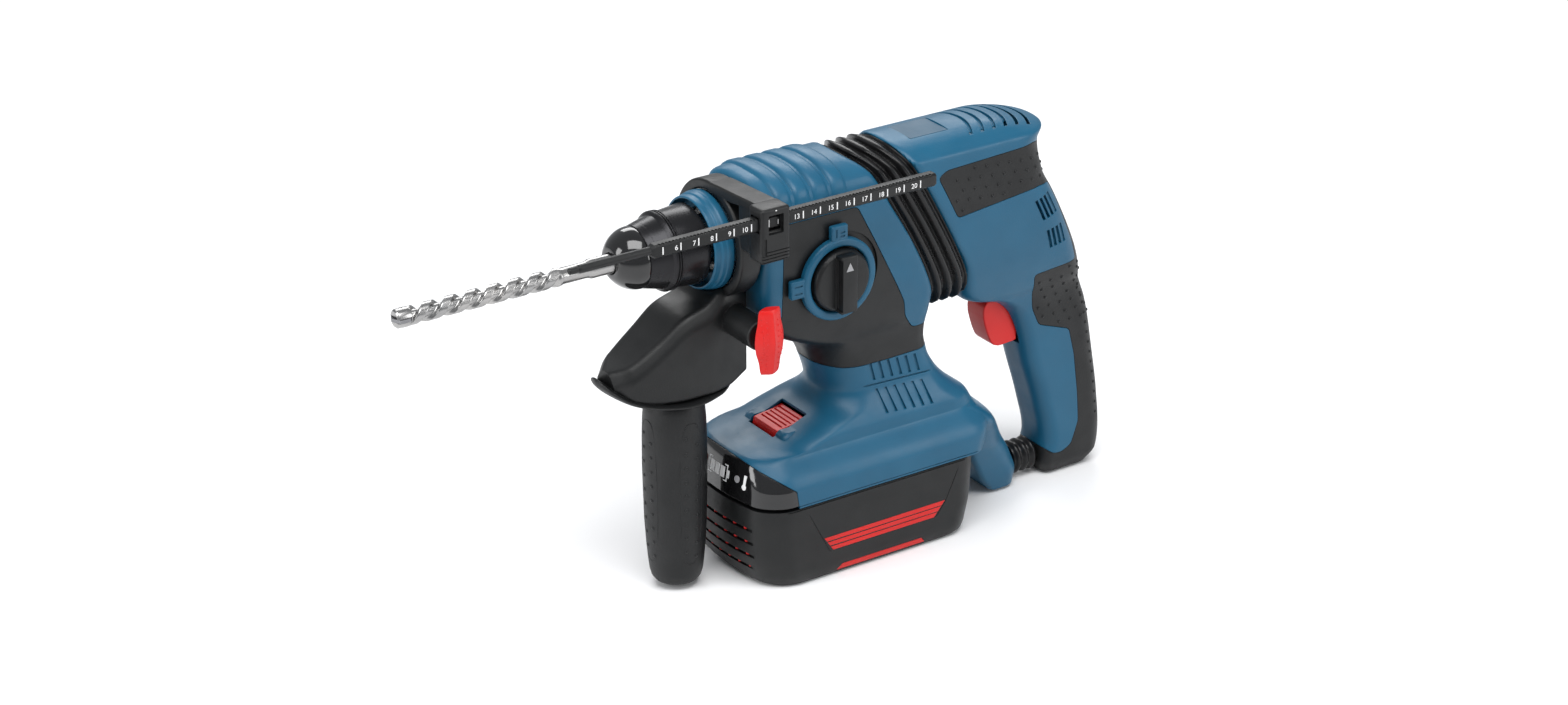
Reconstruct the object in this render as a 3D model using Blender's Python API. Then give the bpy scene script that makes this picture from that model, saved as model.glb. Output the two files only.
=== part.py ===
"""Cordless rotary hammer, modelled as its separate pieces.

Points are in millimetres in the tool's own frame: x runs along the spindle from the tip of the
chuck to the rear, z is up from the spindle axis, and -y is the tool's left side. A root empty
puts the centre of the battery's underside at the world's origin.
"""

import math

import bmesh
import bpy
from mathutils import Matrix, Vector

MM = 0.001
ROOT = Vector((-130, 0, 186))

GAP = 0.35
HANDLE_TRAVEL = 3
WALL = 3.6
SKIN = 1.8
SPLIT = 0.2
FAR = 400
CORNER_STEPS = 4

# Drive train.
MODULE = 1.25
SPINDLE_TEETH = 30
PINION_TEETH = 10
FACE_TEETH = 24
MOTOR_TEETH = 6
ADDENDUM = 0.64 * MODULE
DEDENDUM = 0.96 * MODULE
SHAFT_Z = -MODULE * (SPINDLE_TEETH + PINION_TEETH) / 2
FACE_RADIUS = MODULE * FACE_TEETH / 2
MOTOR_RADIUS = MODULE * MOTOR_TEETH / 2
MOTOR_X = 142
FACE_X = MOTOR_X - MOTOR_RADIUS
WOBBLE_X = 117

FLUTE_TURNS = 2.5

# Side handle.
GRIP_X = 35.5
ROD_Y = -48
ROD_Z = 25
WING = Vector((61, -42, -38.5))

# Middles of the ribs across the gear cover.
RIB_XS = (84, 95, 106, 117)

# Controls.
DIAL = Vector((112.9, -30.3, -23.7))
DIAL_RADIUS = 22

BLUE = (0.016, 0.14, 0.26)
BLACK = (0.012, 0.013, 0.014)
RUBBER = (0.02, 0.021, 0.023)
RED = (0.68, 0.02, 0.018)
STEEL = (0.55, 0.55, 0.56)
COPPER = (0.55, 0.25, 0.12)
GREEN = (0.02, 0.14, 0.05)

# Upright sections: height, front, rear, half width, corner radius at the front and at the rear,
# and how far the front bulges.
FRONT_BODY = [
    (31.6, 80, 129, 7, 5, 3, 0),
    (30.4, 75, 131, 13.5, 6, 3, 0),
    (28, 72, 134.5, 19.5, 7, 3, 0),
    (24, 71, 138.5, 25, 7, 3, 0),
    (17, 71, 142.3, 28, 6, 3, 0),
    (8, 71, 147, 29.5, 5, 3, 0),
    (-12, 71, 159, 30, 5, 3, 0),
    (-36, 72, 171.5, 29.5, 6, 4, 0),
    (-50, 80, 177, 28, 9, 6, 0),
    (-60, 95, 177.5, 26, 14, 8, 0),
    (-67, 107, 177.8, 24, 20, 9, 0),
    (-76, 113, 178.5, 22.8, 21, 10, 0),
    (-86, 117, 181, 22.4, 21, 10, 0),
    (-97, 120, 186, 23, 21, 10, 0),
]
FOOT = [
    (-70, 109.5, 178, 23.6, 20, 10, 0),
    (-76, 113, 178.5, 22.8, 21, 10, 0),
    (-86, 117, 181, 22.4, 21, 10, 0),
    (-96, 119.6, 187, 23.2, 21, 12, 0),
    (-102, 116.5, 192, 26, 21, 14, 0),
    (-108, 104, 199, 29.5, 18, 16, 1),
    (-112, 93, 204, 31, 16, 17, 2),
    (-115.4, 80, 206.5, 31.4, 15, 18, 4),
    (-117, 66, 207.3, 31.6, 14, 18, 6),
    (-119, 63, 208, 33.2, 14, 18, 6.5),
    (-121.5, 62, 209, 35.6, 14, 18, 7),
    (-126, 61, 210.5, 39.4, 14, 16, 7),
    (-131, 60.2, 209, 41.5, 14, 14, 7),
    (-140.5, 59.5, 205, 42, 14, 12, 7),
]
HOOK = [
    (-118, 190, 207, 31, 3, 30, 0),
    (-128, 200, 218.6, 34, 3, 28, 0),
    (-138, 204.5, 228, 28, 3, 24, 0),
    (-146, 206.5, 233, 24, 3, 21, 0),
    (-154, 209, 238, 20, 3, 18, 0),
    (-166, 215, 244.6, 17, 3, 15, 0),
    (-176, 221, 247, 15, 3, 10, 0),
    (-184, 228, 246.5, 13, 3, 9, 0),
]
REAR_BODY = [
    (31.4, 160, 214, 7, 3, 6, 0),
    (30.4, 160, 228, 12, 3, 10, 0),
    (28.4, 161, 240, 17.5, 3, 16, 0),
    (26, 162.2, 250, 21.5, 3, 20, 0),
    (23, 163.8, 257, 25, 3, 24, 0),
    (18, 166.6, 254, 25.8, 3, 24, 0),
    (10.8, 170.6, 253, 26.5, 3, 22, 0),
    (0, 176.5, 254.6, 27, 3, 20, 0),
    (-13.4, 183.8, 261.5, 27, 3, 19, 0),
    (-25.3, 190, 267.5, 26.5, 3, 18, 0),
    (-44, 199.2, 276, 25, 4, 16, 0),
    (-60, 202, 282.3, 21.5, 6, 14, 0),
    (-66, 207, 284, 19.5, 8, 13, 0),
    (-71, 222, 285.5, 17, 9, 12, 0),
    (-77, 234, 288, 15.5, 9, 11, 0),
    (-84, 240, 291.3, 14.5, 9, 11, 0),
    (-119.4, 251.8, 299, 14.2, 9, 11, 0),
    (-141.5, 259, 302.6, 14.5, 9, 11, 0),
    (-166, 264.5, 305, 14.5, 9, 11, 0),
    (-177.5, 263.5, 303, 14, 5, 9, 0),
    (-184.5, 264.6, 298, 12, 5, 8, 0),
]
BATTERY = [
    (-141.1, 59.5, 199, 42, 14, 14, 7),
    (-150, 58.5, 198.5, 42.5, 14, 14, 7),
    (-165, 59.5, 197.5, 42.5, 14, 14, 7),
    (-177, 62, 196, 42, 15, 15, 7),
    (-183.5, 65, 195, 40.5, 15, 15, 6),
    (-186, 68, 192, 38, 15, 15, 5),
]

# Side outlines (x, z) of the regions that the outer surfaces are divided into.
COVER_REGION = [
    (60, -40),
    (80.9, -39.8),
    (81.9, 10.8),
    (126.5, 10.8),
    (157, -48.5),
    (159, -58),
    (165.2, -66.6),
    (190, -66.6),
    (190, 60),
    (60, 60),
]
GRIP_REGION = [
    (178.8, 12.9),
    (184, 15.8),
    (240.9, 18.1),
    (262, 12),
    (330, 11),
    (330, -195),
    (238, -195),
    (238, -161),
    (258, -164.6),
    (269, -172.6),
    (275, -173),
    (281, -169.6),
    (285.4, -156.6),
    (284, -139),
    (281, -116),
    (276.7, -99.5),
    (256, -92),
    (251, -81.4),
    (246, -58.4),
    (274, -55.6),
    (270, -43.5),
    (260, -19.3),
    (254, -7.2),
    (243.6, -5.5),
    (191.2, -11.2),
]
PANEL_REGION = [
    (40, -110),
    (63, -116.5),
    (68, -121),
    (76, -126.5),
    (82, -131),
    (86, -160),
    (40, -160),
]
FOOT_TOP_LINE = [
    (50, -74),
    (106, -77),
    (116, -80),
    (125, -81.3),
    (150, -81.7),
    (178, -81),
    (220, -79),
]


# Meshes.
def mesh_of(points, faces):
    mesh = bpy.data.meshes.new("shape")
    mesh.from_pydata([Vector(point) * MM for point in points], [], faces)
    sheet = bmesh.new()
    sheet.from_mesh(mesh)
    bmesh.ops.recalc_face_normals(sheet, faces=sheet.faces)
    sheet.to_mesh(mesh)
    sheet.free()
    return mesh


def band_faces(start, other, count):
    return [
        (start + i, start + (i + 1) % count, other + (i + 1) % count, other + i)
        for i in range(count)
    ]


def loft(loops):
    """A solid through equal loops, closed at both ends."""
    count = len(loops[0])
    faces = [tuple(range(count)), tuple(range((len(loops) - 1) * count, len(loops) * count))]
    for row in range(len(loops) - 1):
        faces += band_faces(row * count, (row + 1) * count, count)
    return mesh_of([point for loop in loops for point in loop], faces)


def tube(outer, inner):
    """The wall between an outer and an inner run of equal loops, open at both ends."""
    count = len(outer[0])
    rows = outer + inner[::-1]
    faces = []
    for row in range(len(rows)):
        faces += band_faces(row * count, (row + 1) % len(rows) * count, count)
    return mesh_of([point for loop in rows for point in loop], faces)


def turned(axis, centre, profile, sides=20):
    """A closed profile of (distance along the axis, radius) turned about the axis."""
    points = []
    rings = []
    for along, radius in profile:
        ring = []
        for side in range(sides if radius > 0 else 1):
            angle = 2 * math.pi * side / sides
            ring.append(len(points))
            points.append(on_axis(axis, centre, along, radius, angle))
        rings.append(ring)
    faces = []
    for ring, other in zip(rings, rings[1:] + rings[:1]):
        if len(ring) == len(other) == 1:
            continue
        for side in range(sides):
            after = (side + 1) % sides
            corners = [ring[side % len(ring)], ring[after % len(ring)]]
            corners += [other[after % len(other)], other[side % len(other)]]
            faces.append(tuple(dict.fromkeys(corners)))
    return mesh_of(points, faces)


def on_axis(axis, centre, along, radius, angle):
    """The point at an angle round an axis: from +z for x and y, and from +x for z."""
    across, up = radius * math.sin(angle), radius * math.cos(angle)
    if axis == "x":
        offset = (along, across, up)
    elif axis == "y":
        offset = (across, along, up)
    else:
        offset = (up, across, along)
    return Vector(centre) + Vector(offset)


def block(low, high, round_by=0):
    """A box between two corners, with its edges rounded."""
    sheet = bmesh.new()
    bmesh.ops.create_cube(sheet, size=1)
    low, high = Vector(low) * MM, Vector(high) * MM
    size = high - low
    bmesh.ops.scale(sheet, vec=size, verts=sheet.verts)
    bmesh.ops.translate(sheet, vec=(low + high) / 2, verts=sheet.verts)
    if round_by:
        edges = list(sheet.edges)
        bmesh.ops.bevel(sheet, geom=edges, offset=round_by * MM, segments=1, affect="EDGES")
    mesh = bpy.data.meshes.new("block")
    sheet.to_mesh(mesh)
    sheet.free()
    return mesh


def prism(outline, low, high):
    """A side outline (x, z) extruded from y = low to y = high."""
    return loft([[(x, y, z) for x, z in outline] for y in (low, high)])


def boolean(mesh, other, operation, solver="EXACT"):
    graph_objects = []
    for name, data in (("base", mesh), ("tool", other)):
        graph_objects.append(bpy.data.objects.new(name, data))
        bpy.context.scene.collection.objects.link(graph_objects[-1])
    base, tool = graph_objects
    modifier = base.modifiers.new("combine", "BOOLEAN")
    modifier.operation = operation
    modifier.object = tool
    modifier.solver = solver
    graph = bpy.context.evaluated_depsgraph_get()
    result = bpy.data.meshes.new_from_object(base.evaluated_get(graph))
    for made in graph_objects:
        bpy.data.objects.remove(made)
    return result


def cut(mesh, *cutters, solver="EXACT"):
    for cutter in cutters:
        mesh = boolean(mesh, cutter, "DIFFERENCE", solver)
    return mesh


def common(mesh, other, solver="EXACT"):
    return boolean(mesh, other, "INTERSECT", solver)


def joined(mesh, *others, solver="EXACT"):
    for other in others:
        mesh = boolean(mesh, other, "UNION", solver)
    return mesh


def side_half(mesh, side):
    """The half of a solid on one side of the middle plane, with a joint line of SPLIT."""
    low, high = sorted((side * SPLIT / 2, side * FAR))
    return common(mesh, block((-FAR, low, -FAR), (FAR, high, FAR)))


# Sections of the housings.
def upright_loop(station, inset=0, curved=False):
    """A rectangle with oval corners at one height, with more points along a curved front."""
    z, front, rear, half, front_radius, rear_radius, bulge = station
    front, rear, half = front + inset, rear - inset, half - inset
    length = rear - front
    loop = []
    for x, side, start in ((rear, 1, 0), (front, 1, 90), (front, -1, 180), (rear, -1, 270)):
        radius, share = (rear_radius, 0.62) if x == rear else (front_radius, 0.34)
        along = min(max(1.5, radius - inset), share * length)
        across = min(max(1.5, radius - inset), half - 0.6)
        inward = -along if x == rear else along
        for step in range(CORNER_STEPS + 1):
            angle = math.radians(start + 90 * step / CORNER_STEPS)
            point_y = side * (half - across) + across * math.sin(angle)
            point_x = x + inward + along * math.cos(angle)
            if x == front:
                point_x += bulge * (point_y / half) ** 2
            loop.append((point_x, point_y, z))
        if curved and x == front and side == 1:
            for point_y in (0.5 * (half - across), 0, -0.5 * (half - across)):
                loop.append((front + bulge * (point_y / half) ** 2, point_y, z))
    return loop


def station_at(stations, z):
    """The section between two stations at a height."""
    for above, below in zip(stations, stations[1:]):
        if above[0] >= z >= below[0]:
            share = (above[0] - z) / (above[0] - below[0])
            return tuple(a + share * (b - a) for a, b in zip(above, below))
    return stations[0] if z > stations[0][0] else stations[-1]


def body_solid(stations, inset=0, ends=0):
    """A housing's solid, drawn in by an inset at the sides and by ends at the top and bottom."""
    top, bottom = stations[0][0] - ends, stations[-1][0] + ends
    if ends > 0:
        inside = [s for s in stations if bottom + 1 < s[0] < top - 1]
        stations = [station_at(stations, top), *inside, station_at(stations, bottom)]
    elif ends < 0:
        stations = [(top, *stations[0][1:]), *stations[1:-1], (bottom, *stations[-1][1:])]
    curved = any(station[6] for station in stations)
    return loft([upright_loop(station, inset, curved) for station in stations])


def skin_of(stations, region, outer, depth):
    """A region of a housing's outer layer, from outer outside its surface to depth below it."""
    solid = common(body_solid(stations, -outer, -outer), region, solver="MANIFOLD")
    return cut(solid, body_solid(stations, depth, depth), solver="MANIFOLD")


# Gears.
def gear_angles(teeth, phase=0):
    """Angle and a 0 or 1 for root or tip, four for each tooth."""
    pitch = 2 * math.pi / teeth
    for tooth in range(teeth):
        middle = tooth * pitch + phase
        for share, tip in ((-0.26, 0), (-0.11, 1), (0.11, 1), (0.26, 0)):
            yield middle + share * pitch, tip


def gear_loop(axis, centre, along, teeth, phase, tipped=True, radius=0):
    pitch_radius = MODULE * teeth / 2
    loop = []
    for angle, tip in gear_angles(teeth, phase):
        reach = pitch_radius + ADDENDUM if tip else pitch_radius - DEDENDUM
        loop.append(on_axis(axis, centre, along, reach if tipped else radius, angle))
    return loop


# Objects.
def paint(obj, colour, roughness, metallic):
    material = bpy.data.materials.new(obj.name)
    material.use_nodes = True
    shader = material.node_tree.nodes["Principled BSDF"]
    shader.inputs["Base Color"].default_value = (*colour, 1)
    shader.inputs["Roughness"].default_value = roughness
    shader.inputs["Metallic"].default_value = metallic
    obj.data.materials.clear()
    obj.data.materials.append(material)


def add(name, mesh, colour, pivot=(0, 0, 0), roughness=0.5, metallic=0.0):
    """A named piece with its origin at its pivot."""
    pivot = Vector(pivot) * MM
    mesh.transform(Matrix.Translation(-pivot))
    mesh.name = name
    mesh.shade_smooth()
    mesh.set_sharp_from_angle(angle=math.radians(35))
    obj = bpy.data.objects.new(name, mesh)
    bpy.context.scene.collection.objects.link(obj)
    obj.location = pivot
    obj.parent = bpy.data.objects["rotary_hammer"]
    paint(obj, colour, roughness, metallic)
    return obj


def add_shells(name, solid, hollow, cutters, colour, roughness=0.5):
    """A housing's left and right shells. EXACT loses faces on these thin, nested walls."""
    for label, side in (("left", -1), ("right", 1)):
        shell = cut(side_half(solid, side), hollow, *cutters, solver="MANIFOLD")
        add(f"{name}_{label}", shell, colour, roughness=roughness)


def add_spring(name, axis, centre, radius, length, turns, wire, colour=STEEL):
    """A helical spring of round wire."""
    steps = 8 * turns
    loops = []
    for step in range(steps + 1):
        angle = 2 * math.pi * turns * step / steps
        along = length * step / steps
        middle = on_axis(axis, centre, along, radius, angle)
        outward = (middle - on_axis(axis, centre, along, 0, 0)).normalized()
        lengthwise = on_axis(axis, (0, 0, 0), 1, 0, 0)
        loops.append(
            [
                middle
                + wire * math.cos(turn) * outward
                + wire * math.sin(turn) * lengthwise
                for turn in (math.radians(90 * side) for side in range(4))
            ]
        )
    add(name, loft(loops), colour, metallic=1.0, roughness=0.3)


# Front housing.
def front_housings():
    solid = body_solid(FRONT_BODY)
    region = prism(COVER_REGION, -FAR, FAR)
    collar_hole = turned("x", (0, 0, 0), [(40, 0), (40, 23.2), (100, 23.2), (100, 0)])
    cover = skin_of(FRONT_BODY, region, 0, SKIN)
    for x in RIB_XS:
        cover = joined(cover, cover_rib(x), solver="MANIFOLD")
    add("gear_cover", cut(cover, collar_hole, solver="MANIFOLD"), BLUE, roughness=0.4)

    pocket = skin_of(FRONT_BODY, prism(grown(COVER_REGION, GAP), -FAR, FAR), 1, SKIN + GAP)
    below = prism([*FOOT_TOP_LINE, (220, -200), (50, -200)], -FAR, FAR)
    dial_hole = turned("y", (DIAL.x, 0, DIAL.z), [(-60, 0), (-60, 6.6), (-20, 6.6), (-20, 0)])
    cutters = [below, pocket, collar_hole, dial_hole]
    add_shells("gear_housing", solid, body_solid(FRONT_BODY, WALL, WALL), cutters, BLACK)


def grown(outline, by):
    """An outline with each corner moved outwards."""
    points = [Vector(point) for point in outline]
    area = sum(a.x * b.y - b.x * a.y for a, b in zip(points, points[1:] + points[:1]))
    by = by if area > 0 else -by
    result = []
    for before, here, after in zip(points[-1:] + points[:-1], points, points[1:] + points[:1]):
        first = (here - before).normalized()
        second = (after - here).normalized()
        normal = Vector((first.y + second.y, -first.x - second.x)).normalized()
        lean = max(0.5, normal.dot(Vector((first.y, -first.x))))
        result.append(tuple(here + normal * by / lean))
    return result


def cover_rib(x):
    """A rounded cross rib that follows the top of the gear cover."""
    arch = [(0, 31.5), (7, 31.5), (13.5, 30.3), (19.5, 27.9), (25, 23.9), (27.6, 18.6)]
    arch = [(-y, z) for y, z in arch[:0:-1]] + arch
    loops = []
    for offset, rise in ((-3.6, -0.2), (-1.7, 1.7), (1.7, 1.7), (3.6, -0.2)):
        grow = 1 + rise / 30
        top = [(x + offset, y * grow, z * grow) for y, z in arch]
        under = [(x + offset, y * 0.985, z * 0.985) for y, z in arch]
        loops.append(top + under[::-1])
    return loft(loops)


def front_collar():
    """The stepped collar in front of the clamp, pressed round the tube that holds the spindle."""
    collar = [
        (46, 22.85),
        (46, 23.8),
        (50, 23.9),
        (50.6, 24.6),
        (53, 25.2),
        (56, 25.2),
        (56.4, 24.6),
        (56.4, 22.85),
    ]
    add("front_collar", turned("x", (0, 0, 0), collar, 24), BLUE, roughness=0.35)
    tube_wall = [(54.6, 16.9), (54.6, 22.5), (80, 22.5), (80, 16.9)]
    add("spindle_tube", turned("x", (0, 0, 0), tube_wall, 24), BLUE, roughness=0.35)


def joint_loop(front_share, inset):
    """A loop round the joint between the two housings; the share runs from 0 to 1 across it."""
    half = [
        (0, 31),
        (7, 30.8),
        (13, 29.4),
        (19.5, 27),
        (25, 23),
        (27.2, 15),
        (28, 2),
        (28, -24),
        (27, -40),
        (24.5, -52),
        (17, -60),
        (0, -61),
    ]
    outline = half + [(-y, z) for y, z in half[-2:0:-1]]
    loop = []
    for y, z in outline:
        y, z = y * (1 - inset / 28), -15 + (z + 15) * (1 - inset / 46)
        front = station_at(FRONT_BODY, z)[2] + 0.6
        rear = station_at(REAR_BODY, max(z, -54))[1] - 0.8 - HANDLE_TRAVEL
        loop.append((front + front_share * (rear - front), y, z))
    return loop


def upper_bellows():
    """The folds between the housings, which stop short of the handle by its travel."""
    folds = ((0, 0.8), (0.16, -0.6), (0.33, 2.6), (0.5, -0.6), (0.67, 2.6), (0.84, -0.6), (1, 0.8))
    outer = [joint_loop(share, inset) for share, inset in folds]
    inner = [joint_loop(share, inset + 2.4) for share, inset in folds]
    add("upper_bellows", tube(outer, inner), RUBBER, roughness=0.7)


# Foot.
def foot():
    solid = joined(body_solid(FOOT), body_solid(HOOK), latch_block(0), solver="MANIFOLD")
    inner = body_solid(FOOT, WALL, 3.4)
    inner = joined(inner, body_solid(HOOK, WALL, 3.4), latch_block(3), solver="MANIFOLD")
    above = prism([*grown_line(FOOT_TOP_LINE, GAP), (220, 60), (50, 60)], -FAR, FAR)
    latch_pocket = block((87.6, -11.3, -130), (108.6, 11.3, -100))
    terminal_slot = block((112, -22, -150), (170, 22, -130))
    panel = prism(grown(PANEL_REGION, GAP), -FAR, FAR)
    wire_hole = turned("x", (0, 0, -175), [(238, 0), (238, 5), (260, 5), (260, 0)], 12)
    cutters = [above, latch_pocket, terminal_slot, panel, wire_hole]
    add_shells("foot", solid, inner, cutters, BLUE, roughness=0.4)


def grown_line(line, by):
    return [(x, z - by) for x, z in line]


def latch_block(inset):
    """The raised block round the latch button."""
    rows = [
        (-110.6 - inset, 91.5, 112, 17),
        (-112 - inset, 89.5, 114, 18.4),
        (-120, 86.5, 116, 22),
        (-128, 84, 116, 28),
    ]
    return loft([upright_loop((z, f, r, h, 3, 3, 0), inset) for z, f, r, h in rows])


def latch():
    top = [(90.4, -111.2), (100, -110), (108.1, -108.4)]
    outline = [*top, (108.1, -121.3), (88.1, -121.3), (88.4, -119)]
    button = prism(outline, -10.9, 10.9)
    add("latch_button", button, RED, pivot=(98, 0, -121), roughness=0.45)
    add_spring("latch_spring", "z", (98, 0, -136.4), 4, 14.4, 3, 0.5)


def foot_contents():
    terminal = block((118, -18, -140.7), (160, 18, -127), 1)
    add("terminal_block", terminal, BLACK)
    add("electronics_board", block((140, -20, -123.6), (190, 20, -122), 0), GREEN)


# Battery.
def battery():
    solid = body_solid(BATTERY)
    hollow = cut(solid, body_solid(BATTERY, 2.6, 2.6), block((90, -36, -150), (185, 36, -130)))
    add("battery_case", hollow, BLACK, pivot=(130, 0, -141), roughness=0.45)
    panel = common(
        cut(body_solid(FOOT), body_solid(FOOT, 9, -2)),
        prism(PANEL_REGION, -FAR, FAR),
    )
    button_hole = turned("x", (0, 14, -128), [(40, 0), (40, 3.4), (80, 3.4), (80, 0)], 16)
    add("battery_panel", cut(panel, button_hole), BLACK, pivot=(130, 0, -141), roughness=0.3)
    button = turned("x", (0, 14, -128), [(59.6, 0), (59.6, 2.4), (60.4, 3), (67, 3), (67, 0)], 16)
    add("charge_button", button, RED, pivot=(67, 14, -128))
    battery_cells()


def battery_cells():
    """Ten round cells in their holder."""
    holder = block((70, -33, -166), (186, 33, -162))
    for column in range(5):
        x = 82 + 23 * column
        for z in (-172.6, -154.8):
            profile = [(-32, 0), (-32, 9.2), (32, 9.2), (32, 0)]
            holder = joined(holder, turned("y", (x, 0, z), profile, 12))
    add("battery_cells", holder, STEEL, pivot=(130, 0, -141), metallic=0.6)


# Rear handle.
def rear_handle():
    solid = body_solid(REAR_BODY)
    region = prism(GRIP_REGION, -FAR, FAR)
    rubber = skin_of(REAR_BODY, region, 0, SKIN)
    wire_hole = turned("x", (0, 0, -175), [(250, 0), (250, 5), (275, 5), (275, 0)], 12)
    add("grip_rubber", cut(rubber, wire_hole, solver="MANIFOLD"), RUBBER, roughness=0.7)
    pocket = skin_of(REAR_BODY, prism(grown(GRIP_REGION, GAP), -FAR, FAR), 1, SKIN + GAP)
    trigger_slot = block((205, -8.3, -103.2), (258, 8.3, -65))
    cutters = [pocket, trigger_slot, wire_hole]
    inner = body_solid(REAR_BODY, WALL - 0.3, WALL - 0.3)
    add_shells("rear_housing", solid, inner, cutters, BLUE, roughness=0.4)


def lower_bellows():
    """Short by the handle's travel, which its folds take up."""
    front, rear = 247.8, 262.7 - HANDLE_TRAVEL
    radii = (8, 9.3, 7.4, 9.3, 7.4, 9.3, 8)
    folds = [(front + (rear - front) * i / (len(radii) - 1), radius) for i, radius in enumerate(radii)]
    profile = folds + [(x, 5.4) for x, _ in folds[::-1]]
    add("lower_bellows", turned("x", (0, 0, -175), profile, 16), RUBBER, roughness=0.7)


def trigger():
    outline = [
        (226, -74),
        (223.8, -80),
        (225.5, -89),
        (229.2, -98.6),
        (235, -102),
        (246.5, -101.2),
        (246.5, -74),
    ]
    body = prism(outline, -7.5, 7.5)
    add("trigger", body, RED, pivot=(246.5, 0, -88), roughness=0.45)
    add_spring("trigger_spring", "x", (246.9, 0, -88), 4, 8.6, 3, 0.5)
    switch = joined(
        block((256.2, -10, -104), (278, 10, -70)),
        block((254, -6.5, -72), (258, 6.5, -66)),
    )
    add("switch_module", switch, BLACK)
    lever = joined(
        block((226, -4.5, -71.4), (246, 4.5, -67.4), 0.6),
        block((224.5, -3.4, -71), (229, 3.4, -64.8), 0.8),
    )
    add("direction_lever", lever, RED, pivot=(246, 0, -70))


# Hammer and drive.
def chuck():
    cap = [(0, 5.5), (0, 7.6), (1.4, 9.6), (5, 12.4), (9.5, 14.8), (13.4, 16), (13.8, 15.6)]
    cap += [(13.8, 12.4), (4.6, 12.4), (4.6, 5.5)]
    add("dust_cap", turned("x", (0, 0, 0), cap), BLACK, roughness=0.25)
    sleeve = [
        (14.2, 12.6),
        (14.2, 15.8),
        (25.6, 18.6),
        (26.6, 20.4),
        (30, 20.4),
        (30.8, 19.2),
        (44.6, 20.6),
        (45.6, 20.2),
        (45.6, 18.6),
        (18, 16.6),
        (18, 12.6),
    ]
    sleeve_mesh = turned("x", (0, 0, 0), sleeve, 24)
    add("locking_sleeve", sleeve_mesh, BLACK, pivot=(14, 0, 0), roughness=0.2)
    add_spring("lock_spring", "x", (32.8, 0, 0), 13.8, 12, 3, 0.7)


def spindle():
    profile = [
        (5, 5.4),
        (5, 11),
        (6, 12),
        (50, 12),
        (50.6, 13),
        (110, 13),
        (110, 10),
        (70, 10),
        (70, 7.5),
        (48, 7.5),
        (48, 5.4),
    ]
    body = turned("x", (0, 0, 0), profile)
    slot = turned("y", (28, 0, 0), [(-20, 0), (-20, 3.3), (20, 3.3), (20, 0)], 12)
    add("spindle", cut(body, slot), STEEL, metallic=1.0, roughness=0.3)
    for name, side in (("left", -1), ("right", 1)):
        angles = [math.radians(angle) for angle in (30, 60, 90, 120, 150)]
        profile = [(-3, 0), *((-3 * math.cos(a), 3 * math.sin(a)) for a in angles), (3, 0)]
        ball_mesh = turned("x", (28, side * 8.6, 0), profile, 10)
        add(f"locking_ball_{name}", ball_mesh, STEEL, metallic=1.0, roughness=0.15)
    for name, start, outer in (("front", 57, 16.6), ("rear", 83, 18)):
        ring = [(start, 13.4), (start, outer), (start + 8, outer), (start + 8, 13.4)]
        add(f"spindle_bearing_{name}", turned("x", (0, 0, 0), ring), STEEL, metallic=1.0)
    teeth = [gear_loop("x", (0, 0, 0), x, SPINDLE_TEETH, math.pi) for x in (95, 103)]
    bore = turned("x", (0, 0, 0), [(90, 0), (90, 13.4), (110, 13.4), (110, 0)])
    add("spindle_gear", cut(loft(teeth), bore), STEEL, metallic=1.0, roughness=0.35)


def hammer():
    bolt = [(49, 0), (49, 4.2), (52, 7.1), (65, 7.1), (66, 6), (66, 0)]
    add("impact_bolt", turned("x", (0, 0, 0), bolt, 16), STEEL, pivot=(49, 0, 0), metallic=1.0)
    striker = [(74, 0), (74, 4.6), (74.4, 5), (75.9, 5), (76.3, 9.5), (84, 9.5), (84, 0)]
    add("striker", turned("x", (0, 0, 0), striker, 16), STEEL, pivot=(74, 0, 0), metallic=1.0)
    piston = joined(
        turned("x", (0, 0, 0), [(98, 0), (98, 9.5), (112, 9.5), (112, 0)], 16),
        block((111, -8, -5.5), (123.5, -3.9, 5.5)),
        block((111, 3.9, -5.5), (123.5, 8, 5.5)),
    )
    add("piston", piston, STEEL, pivot=(98, 0, 0), metallic=1.0, roughness=0.35)


def wobble_drive():
    centre = (WOBBLE_X, 0, SHAFT_Z)
    angles = [math.radians(angle) for angle in (-45, 0, 45)]
    ball = [(9.4 * math.sin(a), 9.4 * math.cos(a)) for a in angles]
    drum = [(ball[0][0], 4.3), *ball, (ball[-1][0], 4.3)]
    add("wobble_drum", turned("x", centre, drum, 20), STEEL, pivot=centre, metallic=1.0)
    ring = turned("x", centre, [(-3, 9.9), (-3, 12.5), (3, 12.5), (3, 9.9)], 20)
    finger = turned("z", centre, [(11.5, 0), (11.5, 2.2), (27, 2.2), (27, 0)], 10)
    add("wobble_ring", joined(ring, finger), STEEL, pivot=centre, metallic=1.0)


def intermediate_shaft():
    """The shaft with its pinion, whose gap faces up into a tooth of the spindle gear."""
    centre = (0, 0, SHAFT_Z)
    phase = math.pi / PINION_TEETH
    loops = []
    for x, geared in ((84, 0), (92.6, 0), (92.9, 1), (105.1, 1), (105.4, 0), (FACE_X + 1.75, 0)):
        loops.append(gear_loop("x", centre, x, PINION_TEETH, phase, bool(geared), 4))
    add("intermediate_shaft", loft(loops), STEEL, pivot=centre, metallic=1.0, roughness=0.35)
    disc_start, disc_end = FACE_X - 5.85, FACE_X - DEDENDUM
    disc_profile = [(disc_start, 4.35), (disc_start, 16.5), (disc_end, 16.5), (disc_end, 4.35)]
    disc = turned("x", centre, disc_profile, 24)
    add("face_gear", face_teeth(disc, centre, disc_end), STEEL, pivot=centre, metallic=1.0)


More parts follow.
